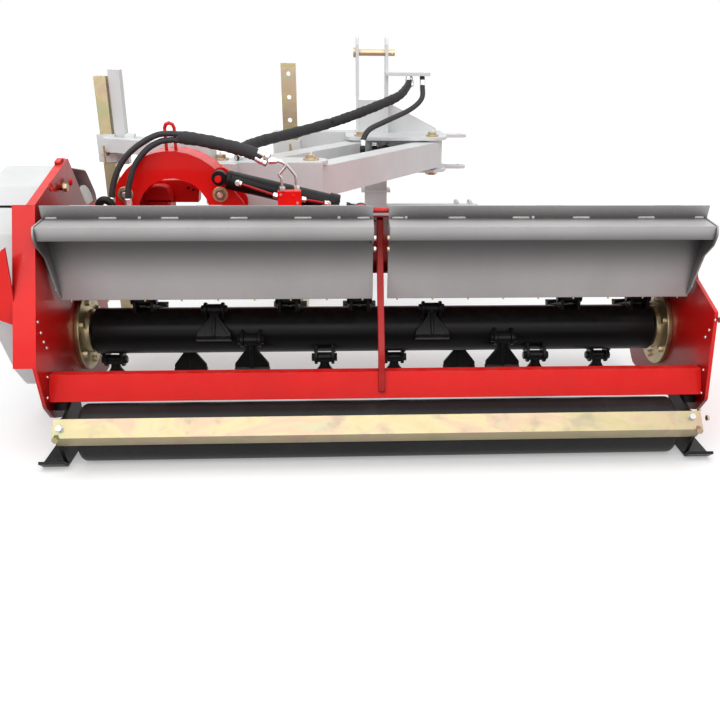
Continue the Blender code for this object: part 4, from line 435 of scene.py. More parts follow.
def paint(name, colour, roughness, chip=(0.22, 0.21, 0.20), dust=0.10, coat=0.0, flake=0.0,
          radius=0.0016, specular=0.5, painted_shade=0.0, reach=0.12, alone=True, film=()):
    """Sprayed enamel: cloudy depth, orange peel, dust on top faces and chips along the edges.

    Painted shade darkens what folds shelter and, with alone off, what other pieces shelter. Painted
    shadow darkens the paint in a band between the four film heights: it rises between the first two and
    falls between the last two.
    """
    finish = Finish(name, Coat_Roughness=0.08, Specular_IOR_Level=specular)
    cloud = finish.noise(3.1, 4)
    streak = finish.noise(7.0, 5, 0.6, (1, 1, 0.25))
    fine = finish.noise(240, 3, 0.6)
    grit = finish.noise(34, 8, 0.7)
    rounded, edges = finish.edge(radius)
    tone = (cloud * 0.6 + streak * 0.4).step(0.3, 0.7)
    shade = finish.colour(tone, tinted(colour, 0.90), tinted(colour, 1.06))
    if flake:
        shade = finish.colour(finish.noise(900, 1).step(0.55, 0.75) * flake, shade, tinted(colour, 1.7))
    # Painted shade: the colour darkens where folds or, with alone off, other pieces stand close.
    if painted_shade:
        shade = finish.colour(finish.sheltered(reach, alone) * painted_shade, shade, tinted(colour, 0.12))
    # Painted shadow: a dark band between the four film heights, which on the hood lies under the ridge.
    if film:
        height = finish.node("ShaderNodeSeparateXYZ", inputs={0: finish.place()}, out="Z")
        under = height.step(film[0], film[1]) * (1 - height.step(film[2], film[3]))
        shade = finish.colour(under * (0.74 + cloud * 0.14), shade, tinted(colour, 0.09))
    settled = (finish.upward() ** 2.0) * grit.step(0.35, 0.75) * dust
    shade = finish.colour(settled, shade, (0.50, 0.47, 0.42))
    specks = grit.step(0.66, 0.70) * finish.noise(11, 3).step(0.60, 0.68)
    chipped = ((edges * grit.step(0.50, 0.58) + specks * 0.5) * 0.5).clip()
    shade = finish.colour(chipped, shade, chip)
    peel = finish.bump(fine, 0.00018, 0.6, rounded)
    dents = finish.bump(finish.noise(5, 2), 0.0012, 0.25, peel)
    return finish.wear(
        Base_Color=shade, Metallic=chipped * 0.6, Normal=dents,
        Roughness=(roughness + tone * 0.06 + settled * 0.5 + chipped * 0.25).clip(),
        Coat_Weight=(coat * (1 - chipped)).clip() if coat else 0.0)


def zinc_plate(name, bright=1.0, radius=0.0012):
    """Yellow passivated zinc: a thin film that drifts from straw to rose and green, lightly brushed."""
    finish = Finish(name)
    drift = finish.noise(5.5, 4, 0.55, (0.7, 1, 1.6), 1.2)
    fine = finish.noise(60, 6, 0.7)
    stops = [(at, tinted(hue, bright)) for at, hue in (
        (0.30, (0.40, 0.41, 0.24)), (0.42, (0.50, 0.42, 0.24)), (0.50, (0.54, 0.45, 0.27)),
        (0.58, (0.53, 0.38, 0.27)), (0.68, (0.46, 0.43, 0.28)))]
    film = finish.node("ShaderNodeValToRGB", {"stops": stops}, {0: drift})
    rounded, edges = finish.edge(radius)
    dull = finish.noise(16, 6, 0.7).step(0.5, 0.72)
    shade = finish.colour(dull * 0.35, film, (0.42, 0.40, 0.32))
    shade = finish.colour(edges * fine.step(0.45, 0.6) * 0.6, shade, (0.80, 0.80, 0.78))
    brushed = finish.noise(90, 2, 0.5, (0.05, 1, 1))
    return finish.wear(Base_Color=shade, Metallic=0.92 - dull * 0.25,
                       Roughness=(0.33 + dull * 0.22 + fine * 0.08).clip(),
                       Normal=finish.bump(brushed, 0.0001, 0.5, rounded))


def bare_steel(name, colour, roughness, grain=(1, 1, 1), scale=180):
    """Machined steel: turning marks, faint stains and a thin oily sheen."""
    finish = Finish(name, Metallic=1.0)
    marks = finish.noise(scale, 3, 0.6, grain)
    stain = finish.noise(14, 6, 0.6).step(0.48, 0.75)
    shade = finish.colour(stain * 0.5, colour, tinted(colour, 0.55))
    return finish.wear(Base_Color=shade, Roughness=(roughness + marks * 0.12 + stain * 0.15).clip(),
                       Normal=finish.bump(marks, 0.00008, 0.5))


def hose_cover(name):
    """Woven hose sleeve: fine slanting ribs with dull grey wear on the crowns and dust between them."""
    finish = Finish(name, Specular_IOR_Level=0.35)
    one_way, other_way = [finish.node(
        "ShaderNodeTexWave", {"wave_type": "BANDS", "bands_direction": "DIAGONAL"},
        {"Vector": finish.place((way, 1, 1)), "Scale": 95.0, "Distortion": 1.5, "Detail": 2.0})
        for way in (1, -1)]
    cloth = one_way * 0.5 + other_way * 0.5
    rub = finish.noise(18, 6, 0.65).step(0.48, 0.72)
    shade = finish.colour(cloth * 0.6 + rub * 0.3, (0.012, 0.012, 0.014), (0.060, 0.060, 0.064))
    return finish.wear(Base_Color=shade, Roughness=(0.52 + cloth * 0.16 + rub * 0.1).clip(),
                       Normal=finish.bump(cloth, 0.0006, 0.7))


def rubber_sheet(name):
    """Moulded rubber: near black, matt, with a dusty bloom and a fine pebble."""
    finish = Finish(name)
    bloom = finish.noise(12, 6, 0.6).step(0.4, 0.75)
    pebble = finish.noise(300, 3)
    shade = finish.colour(bloom, (0.014, 0.014, 0.014), (0.045, 0.044, 0.042))
    return finish.wear(Base_Color=shade, Roughness=(0.62 + bloom * 0.2).clip(),
                       Normal=finish.bump(pebble, 0.0003, 0.6))


def roller_paint(name):
    """Thick black paint on the ground roller, scuffed in bands round it and grey where it rolls."""
    finish = Finish(name, Specular_IOR_Level=0.2)
    bands = finish.noise(26, 6, 0.7, (1, 0.05, 0.05))
    patch = finish.noise(6, 5, 0.65).step(0.42, 0.72)
    grit = finish.noise(140, 4, 0.7)
    worn = (bands.step(0.55, 0.75) * patch).clip()
    shade = finish.colour(worn * 0.6 + patch * 0.2, (0.012, 0.012, 0.0125), (0.055, 0.053, 0.051))
    return finish.wear(Base_Color=shade, Roughness=(0.36 + worn * 0.3 + grit * 0.1).clip(),
                       Normal=finish.bump(grit, 0.0004, 0.5))


# Painted shade darkens the sheltered places of the red, inside red, dark red and hood paints.
RED = paint("red_enamel", (0.81, 0.010, 0.008), 0.30, coat=0.12, specular=0.22, painted_shade=0.3, reach=0.08)
# Inside red: the same red with strong painted shade where other pieces stand within 0.34 m.
RED_INSIDE_SHADED = paint("red_enamel_inside", (0.80, 0.010, 0.008), 0.27, coat=0.14, specular=0.24, painted_shade=0.8,
                   reach=0.34, alone=False)
RED_CAST = paint("red_casting", (0.70, 0.010, 0.009), 0.40, coat=0.06, radius=0.004, specular=0.25)
# Dark red: on the centre stay its darkness is painted shade, and the valve's feed pipes are dark red
# themselves. Both get painted shade where pieces stand close.
RED_DARK_SHADED = paint("dark_red_enamel", (0.44, 0.010, 0.009), 0.36, coat=0.06, specular=0.25, painted_shade=0.4,
                 reach=0.20, alone=False)
GREY = paint("light_grey_enamel", (0.74, 0.755, 0.76), 0.36, dust=0.12, coat=0.10, specular=0.35)
# Hood grey with painted shade in its folds and a band of painted shadow under the ridge, between the film
# heights.
HOOD = paint("hood_grey_enamel", (0.50, 0.49, 0.49), 0.30, dust=0.08, coat=0.05, flake=0.06, radius=0.004,
             specular=0.30, painted_shade=0.95, film=(0.455, 0.585, 0.600, 0.646))
BLACK = paint("black_enamel", (0.012, 0.012, 0.0125), 0.27, chip=(0.12, 0.115, 0.11), dust=0.04,
              specular=0.13)
ROLLER_BLACK = roller_paint("roller_black")
ZINC = zinc_plate("yellow_zinc")
ZINC_BAR = zinc_plate("yellow_zinc_bar", 0.78)
DULL_ZINC = zinc_plate("dull_zinc", 0.42)
SILVER_ZINC = bare_steel("silver_zinc", (0.72, 0.72, 0.70), 0.26)
CHROME = bare_steel("hard_chrome", (0.82, 0.82, 0.83), 0.08, (0.02, 1, 1), 220)
STEEL = bare_steel("turned_steel", (0.50, 0.49, 0.47), 0.30)
HOSE = hose_cover("hose_sleeve")
RUBBER = rubber_sheet("black_rubber")

for finish, labels in (
        (RED, "rear_cross_bar tilt_arch"), (RED_INSIDE_SHADED, "deck_shell side_plate_left side_plate_right"),
        (RED_CAST, "gearbox"), (GREY, "belt_cover carriage headstock_frame side_arm_left side_arm_right"),
        (HOOD, "hood_flap_left hood_flap_right"), (ZINC_BAR, "scraper_bar"),
        (ZINC, "arm_pin_front_right arm_pin_front_left arm_pin_rear_right arm_pin_rear_left leg_clamp_screw"
               " stand_clamp_screw parking_leg stand_bar top_link_pin"),
        (BLACK, "roller_bracket_left roller_bracket_right"), (RUBBER, "drive_belts"),
        (STEEL, "drive_pulley driven_pulley input_shaft")):
    for label in labels.split():
        for slot_of in NODES[label].material_slots:
            slot_of.material = finish.material


# Rotor, hammers and bearings

def hammer_seat(i):
    """Row letter and bolt centre of one hammer."""
    row = HAMMER_ROWS[i]
    along = -HAMMER_FIRST + i * 2 * HAMMER_FIRST / (len(HAMMER_ROWS) - 1)
    a = math.radians(LUG_DEG[row])
    return row, np.array((along, ROTOR[0] + PIVOT_R * math.sin(a), ROTOR[1] - PIVOT_R * math.cos(a)))


def rotor_tube():
    """Rotor: revolved tube with stub shafts, weld rings, rounded lugs, bolts and nuts."""
    profile = [(-1.033, STUB_R - 0.002), (-1.030, STUB_R), (-TUBE_HALF - 0.001, STUB_R),
               (-TUBE_HALF, TUBE_R - 0.006), (-TUBE_HALF + 0.004, TUBE_R),
               (TUBE_HALF - 0.004, TUBE_R), (TUBE_HALF, TUBE_R - 0.006), (TUBE_HALF + 0.001, STUB_R),
               (0.934, STUB_R), (0.937, STUB_R - 0.002)]
    shape = Surface().grid(turned(profile, (0, *ROTOR), X_AXIS, 96))
    outline = soft_outline([(0.024, -0.063), (0.024, -0.094), (0.012, -0.1195), (-0.012, -0.1195),
                            (-0.024, -0.094), (-0.024, -0.063)], [0, 0.012, 0.012, 0.012, 0.012, 0], 6)
    lugs = Surface()
    for side in (-1, 1):
        lugs.grid(slab(outline, *sorted((side * 0.0213, side * 0.0313)), edge=0.0015))
        weld_bead(lugs, [(side * 0.0325, -0.022, -0.0705), (side * 0.0325, 0.0, -0.0735),
                         (side * 0.0325, 0.022, -0.0705)], 0.0026, X_AXIS)
    lugs.grid(turned([(-0.0313, 0.0085), (0.0313, 0.0085)], (0, 0, -PIVOT_R), X_AXIS, 16))
    hex_nut(lugs, (0.0313, 0, -PIVOT_R), X_AXIS, 0.022, 0.008, False)
    hex_nut(lugs, (-0.0313, 0, -PIVOT_R), -X_AXIS, 0.022, 0.0088, False)
    for i in range(len(HAMMER_ROWS)):
        row, seat = hammer_seat(i)
        shape.add_turned(lugs, LUG_DEG[row], (seat[0], *ROTOR))
    made("rotor_dressed", shape, "rotor", BLACK, node="rotor")


def hammer(i):
    """One hammer: turned eye, blade that widens from neck to foot, middle rib and T foot."""
    row, seat = hammer_seat(i)
    neck, wide = 0.014, HAMMER_HALF_W
    shape = Surface()
    shape.grid(turned([(-0.021, 0.0145), (-0.0195, 0.016), (0.0195, 0.016), (0.021, 0.0145)],
                      (0, 0, 0), X_AXIS, 28))
    blade = soft_outline([(-neck, 0.004), (-neck, -0.026), (-wide, -HAMMER_L + 0.022), (-wide, -HAMMER_L),
                          (wide, -HAMMER_L), (wide, -HAMMER_L + 0.022), (neck, -0.026), (neck, 0.004)],
                         [0.002, 0.008, 0.003, 0.001, 0.001, 0.003, 0.008, 0.002], 5)
    shape.grid(slab(blade, -0.006, 0.006, "Y", 0.0018))
    foot = soft_outline([(-0.007, -HAMMER_L + 0.011), (-0.015, -HAMMER_L - 0.001),
                         (0.015, -HAMMER_L - 0.001), (0.007, -HAMMER_L + 0.011)], 0.0015, 3)
    shape.grid(slab(foot, -wide - 0.001, wide + 0.001, "X", 0.0012))
    rib = soft_outline([(-0.012, -0.006), (-0.013, -HAMMER_L + 0.010), (0.013, -HAMMER_L + 0.010),
                        (0.012, -0.006)], 0.003, 4)
    shape.grid(slab(rib, -0.005, 0.005, "X", 0.0022))
    name = f"hammer_{i + 1:02d}"
    made(name + "_dressed", Surface().add_turned(shape, REST_DEG.get(row, 0), seat), name, BLACK,
         node=name)


def bolt_ring(x):
    """Six places round the rotor's axis at one X, where the bearing flanges are bolted."""
    return [(x, ROTOR[0] + FLANGE_BOLTS_R * math.cos(a), ROTOR[1] + FLANGE_BOLTS_R * math.sin(a))
            for a in np.radians(30 + 60 * np.arange(6))]


def bearing(label, side):
    """Bearing flange: chamfered disc, raised hub with its seal, and six hexagon bolts."""
    face = side * (DECK_HALF - 0.0003)
    centre = (face, *ROTOR)
    axis = -side * X_AXIS
    shape = Surface()
    shape.grid(turned([(0, 0.1195), (0.001, 0.120), (0.0125, 0.120), (0.014, 0.1185), (0.014, 0.074),
                       (0.0165, 0.068), (0.028, 0.067), (0.030, 0.064), (0.030, 0.050), (0.0285, 0.048),
                       (0.0285, 0.0284), (0.0, 0.0284)], centre, axis, 96), ends=False)
    for spot in bolt_ring(face + axis[0] * 0.014):
        hex_nut(shape, spot, axis, 0.019, 0.009)
    node = f"bearing_flange_{label}"
    made(node + "_dressed", shape, "deck", ZINC, node=node)
    seal = Surface()
    for lip in ([(0.0283, 0.0475), (0.0288, 0.044), (0.0284, 0.031), (0.0283, 0.0288)],
                [(0.0283, 0.0475), (0.0270, 0.046), (0.0270, 0.031), (0.0283, 0.0288)]):
        seal.grid(turned(lip, centre, axis, 64), ends=False)
    made(f"bearing_seal_{label}", seal, "deck", RUBBER)


def ground_roller():
    """Roller: revolved drum with rounded shoulders, dished ends, weld ring and axle stubs."""
    half_side = [(0.884, 0.0135), (0.882, 0.015), (0.832, 0.015), (0.8305, 0.020), (0.826, 0.022),
                 (0.826, 0.060), (0.830, 0.066), (0.8295, 0.0715), (0.8265, 0.0765), (0.821, 0.0795),
                 (0.815, ROLLER_R)]
    profile = [(-a, r) for a, r in half_side] + [(a, r) for a, r in reversed(half_side)]
    made("roller_dressed", Surface().grid(turned(profile, (0, 0, ROLLER_R), X_AXIS, 128)), "roller",
         ROLLER_BLACK, node="roller")


rotor_tube()
for i in range(len(HAMMER_ROWS)):
    hammer(i)
bearing("left", -1)
bearing("right", 1)
ground_roller()


# Cylinders, pins and valve

def eye_ring(shape, centre, axis):
    """A round eye with a bored hole: the profile goes out, over the rim and back through the bore."""
    radius, half, hole = 0.022, 0.014, 0.0103
    profile = [(-half, hole), (-half, radius - 0.002), (-half + 0.002, radius), (half - 0.002, radius),
               (half, radius - 0.002), (half, hole), (-half, hole)]
    shape.grid(turned(profile, centre, axis, 40), ends=False)


def cylinder(label, body_names, base, tip, pin_axis, up, ports):
    """Hydraulic cylinder: barrel with end cap, gland and ports, and a chromed rod, each with its eye."""
    length = np.linalg.norm(tip - base)
    run = (tip - base) / length
    gland = length - 0.070
    barrel = Surface()
    eye_ring(barrel, base, pin_axis)
    barrel.grid(turned([(0.0205, 0.020), (0.024, CYL_R), (0.036, CYL_R), (0.0375, CYL_R - 0.001),
                        (0.039, CYL_R), (gland - 0.031, CYL_R), (gland - 0.029, 0.032),
                        (gland - 0.002, 0.032), (gland + 0.001, 0.030), (gland + 0.001, 0.0165),
                        (gland - 0.003, 0.0155), (gland - 0.003, 0.0134), (0.0615, 0.0134)],
                       base, run, 64))
    for place in ports:
        spot = base + run * place
        barrel.grid(turned([(CYL_R - 0.004, 0.0105), (CYL_R + 0.010, 0.010), (CYL_R + 0.0135, 0.0095)],
                           spot, up, 24))
    made(f"{label}_barrel_dressed", barrel, body_names[0], BLACK, node=f"{label}_barrel")
    rod = Surface().grid(turned([(0.080, 0.012), (0.081, ROD_R), (length - 0.040, ROD_R)], base, run, 48))
    made(f"{label}_rod_dressed", rod, body_names[1], CHROME, node=f"{label}_rod")
    head = Surface()
    eye_ring(head, tip, pin_axis)
    head.grid(turned([(length - 0.048, ROD_R + 0.001), (length - 0.046, 0.0155), (length - 0.037, 0.0155),
                      (length - 0.035, 0.0138), (length - 0.017, 0.0138)], base, run, 32))
    made(f"{label}_rod_eye", head, body_names[1], BLACK)
    lip = turned([(gland - 0.001, 0.0162), (gland + 0.002, 0.0155), (gland + 0.003, 0.0137)], base, run, 40)
    made(f"{label}_wiper", Surface().grid(lip, ends=False), body_names[0], RUBBER)


def arch_pin(name, x, end_y, nut):
    """Pin of the arch: washer, front nut with its stud, smooth shank and, where asked, a rear nut."""
    shape = Surface()
    rear = (x, ARCH_REAR_Y - 0.0003, TILT[1])
    shape.grid(turned([(0, 0.0235), (0.0022, 0.0235), (0.0030, 0.0225)], rear, -Y_AXIS, 48))
    shape.grid(turned([(-0.004, 0.015), (end_y - ARCH_REAR_Y, 0.015)], rear, Y_AXIS, 32))
    if nut:
        hex_nut(shape, (x, end_y - 0.001, TILT[1]), Y_AXIS, 0.036, 0.0125, True)
    made(name + "_dressed", shape, "carriage", ZINC, node=name)
    head = Surface()
    hex_nut(head, (x, ARCH_REAR_Y - 0.0032, TILT[1]), -Y_AXIS, 0.030, 0.0085, False)
    made(name + "_nut", head, "carriage", DULL_ZINC)
    stud = turned([(0, 0.0085), (0.0030, 0.0085), (0.0038, 0.0075)], (x, ARCH_REAR_Y - 0.0110, TILT[1]),
                  -Y_AXIS, 28)
    made(name + "_stud", Surface().grid(stud), "carriage", SILVER_ZINC)


def valve():
    """Check valve: red block, hexagon fittings on three sides, two bent steel pipes and two feeds."""
    run = unit(TILT_LOW - TILT_TOP)
    spot = TILT_TOP + run * VALVE_AT
    middle = np.array((spot[0], TILT_TOP[1] - CYL_R - 0.0295, spot[2]))
    half_x, half_y, half_z = 0.034, 0.015, 0.022
    base = soft_outline([(-half_x, -half_y), (half_x, -half_y), (half_x, half_y), (-half_x, half_y)],
                        0.002, 3)
    block = Surface().grid(slab(base + middle[:2], middle[2] - half_z, middle[2] + half_z, "Z", 0.0015))
    button_head(block, middle + (0.012, -half_y, 0.008), -Y_AXIS, 0.005, 0.001)
    made("valve_block", block, "tilt_barrel", RED, node="check_valve")
    screws = Surface()
    for dx, dz in ((-0.024, 0.012), (0.024, -0.012)):
        hex_nut(screws, middle + (dx, -half_y, dz), -Y_AXIS, 0.008, 0.004, False)
    pipes = Surface()
    bend, union_x, union_z = -0.286, -0.3154, 0.776
    for side in (-1, 1):
        x, y, top = spot[0] + side * 0.020, middle[1] + side * 0.010, middle[2] + half_z
        line = smooth_line([(x, y, top), (x, y, top + 0.018), (x, y, top + 0.036),
                            (x - 0.006, y, top + 0.048), (bend + 0.018, y, 0.764),
                            (bend + 0.002, y, 0.775), (bend - 0.010, y, union_z)], 8)
        pipes.grid(tube(line, 0.0046, Y_AXIS, 14))
        hex_nut(screws, (x, y, top), Z_AXIS, 0.0165, 0.012, False)
        hex_nut(screws, (union_x, y, union_z), X_AXIS, 0.0165, 0.014, False)
        screws.grid(turned([(0.013, 0.0075), (0.021, 0.007), (0.023, 0.0052)],
                           (union_x, y, union_z), X_AXIS, 20))
    made("valve_pipes", pipes, "tilt_barrel", STEEL)
    made("valve_nuts", screws, "tilt_barrel", SILVER_ZINC)
    feeds = Surface()
    ends = Surface()
    for side, port_along in ((-1, 0.060), (1, 0.330)):
        start = middle + (side * half_x, 0.002, -side * 0.004)
        far = TILT_TOP + run * port_along + (0, -CYL_R - 0.006, 0.004)
        slope = unit(far - start)
        hex_nut(ends, start, slope, 0.0165, 0.013, False)
        hex_nut(ends, far, -slope, 0.0155, 0.012, False)
        line = smooth_line([start + slope * 0.006, start + slope * 0.03, far - slope * 0.03,
                            far - slope * 0.004], 8)
        feeds.grid(tube(line, 0.0038, Z_AXIS, 14))
        ends.grid(turned([(0, 0.009), (0.016, 0.009), (0.018, 0.007)], far + (0, 0.010, 0), -Y_AXIS, 20))
        if side < 0:
            hex_nut(ends, far + (0, -0.008, 0), -Y_AXIS, 0.012, 0.006, False)
    # Feed pipes in their own dark red, with painted shade where pieces stand close.
    made("valve_feed_pipes", feeds, "tilt_barrel", RED_DARK_SHADED)
    made("valve_feed_nuts", ends, "tilt_barrel", SILVER_ZINC)


cylinder("tilt_cylinder", ("tilt_barrel", "tilt_rod"), TILT_TOP, TILT_LOW, Y_AXIS, -Y_AXIS,
         (VALVE_AT - VALVE_PORT_STEP, VALVE_AT + VALVE_PORT_STEP))
cylinder("shift_cylinder", ("shift_barrel", "shift_rod"), SHIFT_BASE, SHIFT_TIP, Z_AXIS, Z_AXIS, SHIFT_PORTS)
arch_pin("tilt_pin", TILT[0], 0.5413, True)
arch_pin("arch_bolt", ARCH_BOLT_X, REAR_PIVOT[1] - 0.049, False)
valve()


# Hoses, each a free length between two fittings

def cord(hose, path):
    """Bake a hose's place into its mesh."""
    run = path + SHIFT
    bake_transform(hose)


def hose_pair(label, points, side, joined, ferrule, sleeve=None, node=None,
              spread=((0, HOSE_SPREAD), (1, HOSE_SPREAD))):
    """Two hoses side by side along one line, each offset along the line's second normal by its spread.

    They have ferrules at the start (0) or at the end (-1). A woven sleeve holds them over a share of the
    line: an oval, its size rippling by a fifteenth.
    """
    line = smooth_line(points, 12)
    _, second = normals(line, side)
    gap = np.interp(np.linspace(0, 1, len(line)), *zip(*spread))
    found, covers = [], []
    if sleeve:
        first, last = (int(share * (len(line) - 1)) for share in sleeve)
        count = np.arange(last - first)
        ripple = 1 + 0.04 * np.sin(count * 1.7) + 0.03 * np.sin(count * 0.61)
        ripple[[0, -1]] = 0.86
        oval = tube(line[first:last], SLEEVE_R * ripple, side, 28, SLEEVE_FLAT)
        covers.append(made(f"{label}_sleeve", Surface().grid(oval), None, HOSE))
        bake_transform(covers[0])
    for word, way in (("lower", -1), ("upper", 1)):
        path = line + second * (gap * way)[:, None]
        hose = made(f"{label}_{word}", Surface().grid(tube(path, HOSE_R, side, 20)), None, HOSE)
        cord(hose, path)
        found.append((hose, path))
    end, length = ferrule
    for hose, path in found:
        crimp(hose.name + "_ferrule", path[end], path[-3 if end else 2] - path[end], joined[end], length)
    if node:
        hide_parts(node)


def crimp(name, end, inward, body, length):
    """Crimped ferrule of a hose end: pressed rings, from the fitting towards the hose."""
    rows = [(0.0, 0.0075), (0.002, 0.0098), (length * 0.30, 0.0098), (length * 0.34, 0.0090),
            (length * 0.40, 0.0112), (length * 0.52, 0.0106), (length * 0.64, 0.0112),
            (length * 0.78, 0.0106), (length * 0.92, 0.0112), (length, 0.0098)]
    made(name, Surface().grid(turned(rows, end, inward, 32)), body, SILVER_ZINC)


def shift_hose():
    """The single hose from the headstock's shelf to the shift cylinder's outer port."""
    port = SHIFT_BASE + unit(SHIFT_TIP - SHIFT_BASE) * SHIFT_PORTS[1]
    port_top = port[2] + CYL_R + 0.0145
    line = smooth_line([
        (0.218, SHELF_Y, SHELF_LOW), (0.219, 1.390, 0.925), (0.213, 1.350, 0.880), (0.163, 1.295, 0.842),
        (0.060, 1.190, 0.806), (-0.003, 1.128, 0.782), (port[0] + 0.004, port[1] + 0.012, port_top + 0.036),
        (port[0], port[1], port_top)], 12)
    hose = made("hose_to_shift_dressed", Surface().grid(tube(line, SHIFT_HOSE_R, ASIDE, 20)), None, HOSE,
                node="hose_to_shift_cylinder")
    cord(hose, line)
    crimp("hose_to_shift_ferrule_front", line[0], line[2] - line[0], "headstock", 0.040)
    crimp("hose_to_shift_ferrule_rear", line[-1], line[-3] - line[-1], "shift_barrel", 0.034)


# Routes of the pairs; those along the right arm lie side by side, along ASIDE
ASIDE = np.array((0.80, -0.60, 0.0))
OVER_ARCH = np.array([(-0.318, 0.3375, 0.776), (-0.345, 0.342, 0.789), (-0.380, 0.352, 0.801),
                      (-0.440, 0.378, 0.813), (-0.528, 0.398, 0.828), (-0.600, 0.410, 0.834)])
DOWN_TO_DECK = np.array([(-0.600, 0.410, 0.834), (-0.642, 0.408, 0.829), (-0.690, 0.400, 0.802),
                         (-0.732, 0.392, 0.757), (-0.757, 0.385, 0.700), (-0.765, 0.381, 0.655),
                         (-0.767, 0.380, 0.6312)])
TO_ARM = np.array([(0.165, SHELF_Y, SHELF_LOW), (0.163, 1.385, 0.935), (0.122, 1.310, 0.895),
                   (0.052, 1.250, 0.868), (-0.020, 1.190, 0.845), (-0.086, 1.145, 0.825),
                   (-0.153, 1.090, 0.808)])
ALONG_ARM = np.array([(-0.153, 1.090, 0.808), (-0.269, 0.950, 0.790), (-0.377, 0.800, 0.778),
                      (-0.425, 0.700, 0.770), (-0.441, 0.630, 0.762), (-0.442, 0.592, 0.757)])

hose_pair("hose_over_arch", OVER_ARCH, Y_AXIS, ("tilt_barrel", "carriage"), (0, 0.036), (0.14, 0.98),
          "hose_over_arch", ((0, 0.0100), (0.3, HOSE_SPREAD), (1, HOSE_SPREAD)))
hose_pair("hose_down_to_deck", DOWN_TO_DECK, Y_AXIS, ("carriage", "deck"), (-1, 0.030),
          spread=((0, HOSE_SPREAD), (0.3, 0.011), (0.6, 0.021), (1, 0.026)))
hose_pair("hose_to_tilt_front", TO_ARM, ASIDE, ("headstock", "arm_right"), (0, 0.040), (0.10, 1.0),
          "hose_to_tilt_cylinder")
hose_pair("hose_to_tilt_rear", ALONG_ARM, ASIDE, ("arm_right", "carriage"), (-1, 0.036), (0.0, 0.86))
shift_hose()


# Fixings and small fittings

def fixings(name, body, seats, finish=SILVER_ZINC):
    """Bolt heads, each a (seat, axis, across, height): a hexagon, or a dome if its height is negative."""
    shape = Surface()
    for seat, axis, across, height in seats:
        if height < 0:
            button_head(shape, seat, axis, across / 2, -height)
        else:
            hex_nut(shape, seat, axis, across, height)
    made(name, shape, body, finish)


def gearbox_top():
    """Cast dome on the gearbox and the folded guard behind it, with its bolts."""
    arch = soft_outline([(-0.731, 0.618), (-0.731, 0.642), (-0.714, 0.668), (-0.662, 0.668),
                         (-0.649, 0.642), (-0.649, 0.618)], [0, 0.016, 0.022, 0.022, 0.016, 0], 8)
    made("gearbox_dome", Surface().grid(slab(arch, 0.545, 0.595, "Y", 0.004)), "deck", RED_CAST)
    hood = soft_outline([(-0.737, 0.606), (-0.732, 0.676), (-0.621, 0.679), (-0.568, 0.656),
                         (-0.574, 0.606)], [0.002, 0.010, 0.016, 0.012, 0.002], 6)
    made("gearbox_guard", Surface().grid(slab(hood, 0.598, 0.645, "Y", 0.0015)), "deck", RED)
    fixings("gearbox_guard_bolts", "deck", [((x, 0.5985, 0.652 - (x + 0.600) * 0.43), -Y_AXIS, 0.009, -0.004)
                                            for x in (-0.604, -0.588)], BLACK)


def plate_fixings():
    """Bolts and studs of the side plates, their rear ears and the fin plate inside the left one."""
    ears = [(0.110, 0.648), (0.082, 0.617), (0.094, 0.576), (0.142, 0.526), (0.150, 0.450)]
    for side, word, low in (
            (-1, "left", [(0.014, 0.401), (0.022, 0.367), (0.032, 0.337), (0.045, 0.315), (0.020, 0.239),
                          (-0.003, 0.187)]),
            (1, "right", [(-0.004, 0.398), (0.021, 0.360), (0.037, 0.333), (0.016, 0.241), (0.005, 0.174)])):
        seats = [((side * (DECK_HALF - 0.0004), y, z), -side * X_AXIS, 0.009, -0.003) for y, z in low]
        seats += [((side * 0.9052, y, z), -side * X_AXIS, 0.010, -0.003) for y, z in ears]
        fixings(f"plate_studs_{word}", "deck", seats)
    fixings("fin_nut", "deck", [((-0.9052, 0.330, 0.700), X_AXIS, 0.022, 0.010)], ZINC)
    ring = Surface()
    ring.grid(turned([(0, 0.006), (0, 0.0125), (0.002, 0.0135), (0.0045, 0.0135), (0.0045, 0.006),
                      (0, 0.006)], (-0.9052, 0.220, 0.721), X_AXIS, 28), ends=False)
    button_head(ring, (-0.9052, 0.385, 0.707), X_AXIS, 0.012, 0.008)
    made("fin_bosses", ring, "deck", RED_CAST)


def roof_hoop():
    """Black pipe hoop on the deck's roof, beside the hydraulic fittings."""
    line = smooth_line([(x, 0.350, z) for x, z in (
        (-0.824, 0.606), (-0.822, 0.636), (-0.812, 0.656), (-0.799, 0.660), (-0.786, 0.653),
        (-0.779, 0.634), (-0.777, 0.606))], 10)
    made("roof_pipe", Surface().grid(tube(line, 0.0115, Y_AXIS, 20)), "deck", BLACK)
    fixings("roof_pipe_nuts", "deck", [((x, 0.350, 0.6095), Z_AXIS, 0.026, 0.010)
                                       for x in (-0.824, -0.777)], ZINC)


def flap_fittings():
    """Weld stitches under each flap's ridge, its bolts, and the guide pins along its lower edge."""
    for body, stitches, edges in (
            ("flap_left", (-0.888, -0.731, -0.567, -0.383, -0.211, -0.041), (-0.895, -0.03)),
            ("flap_right", (0.038, 0.208, 0.384, 0.551, 0.733, 0.893), (0.03, 0.895))):
        beads = Surface()
        for x in stitches:
            ends = np.clip((x - 0.024, x + 0.024), *edges)
            weld_bead(beads, [(e, 0.1222, 0.6545) for e in np.linspace(*ends, 4)], 0.0036, Z_AXIS, 6)
        made(f"{body}_stitches", beads, body, HOOD)
        pins = Surface()
        for x in np.linspace(edges[0] + 0.02, edges[1] - 0.02, 9):
            pins.grid(turned([(-0.004, 0.0026), (0.0032, 0.0026), (0.0042, 0.0018)],
                             (x, 0.1712, 0.410), -Z_AXIS, 12))
        made(f"{body}_pins", pins, body, ZINC)
    for body, way, places in (("flap_left", 1, (-0.647, -0.114)), ("flap_right", -1, (0.068, 0.417))):
        fixings(f"{body}_bolts", body, [((x, 0.1226, 0.6550), -Y_AXIS, 0.010, -0.004) for x in places], HOOD)
        fixings(f"{body}_end_nuts", body, [((-way * 0.0212, 0.070, z), way * X_AXIS, 0.012, 0.006)
                                           for z in (0.612, 0.582)], SILVER_ZINC if way > 0 else ZINC)


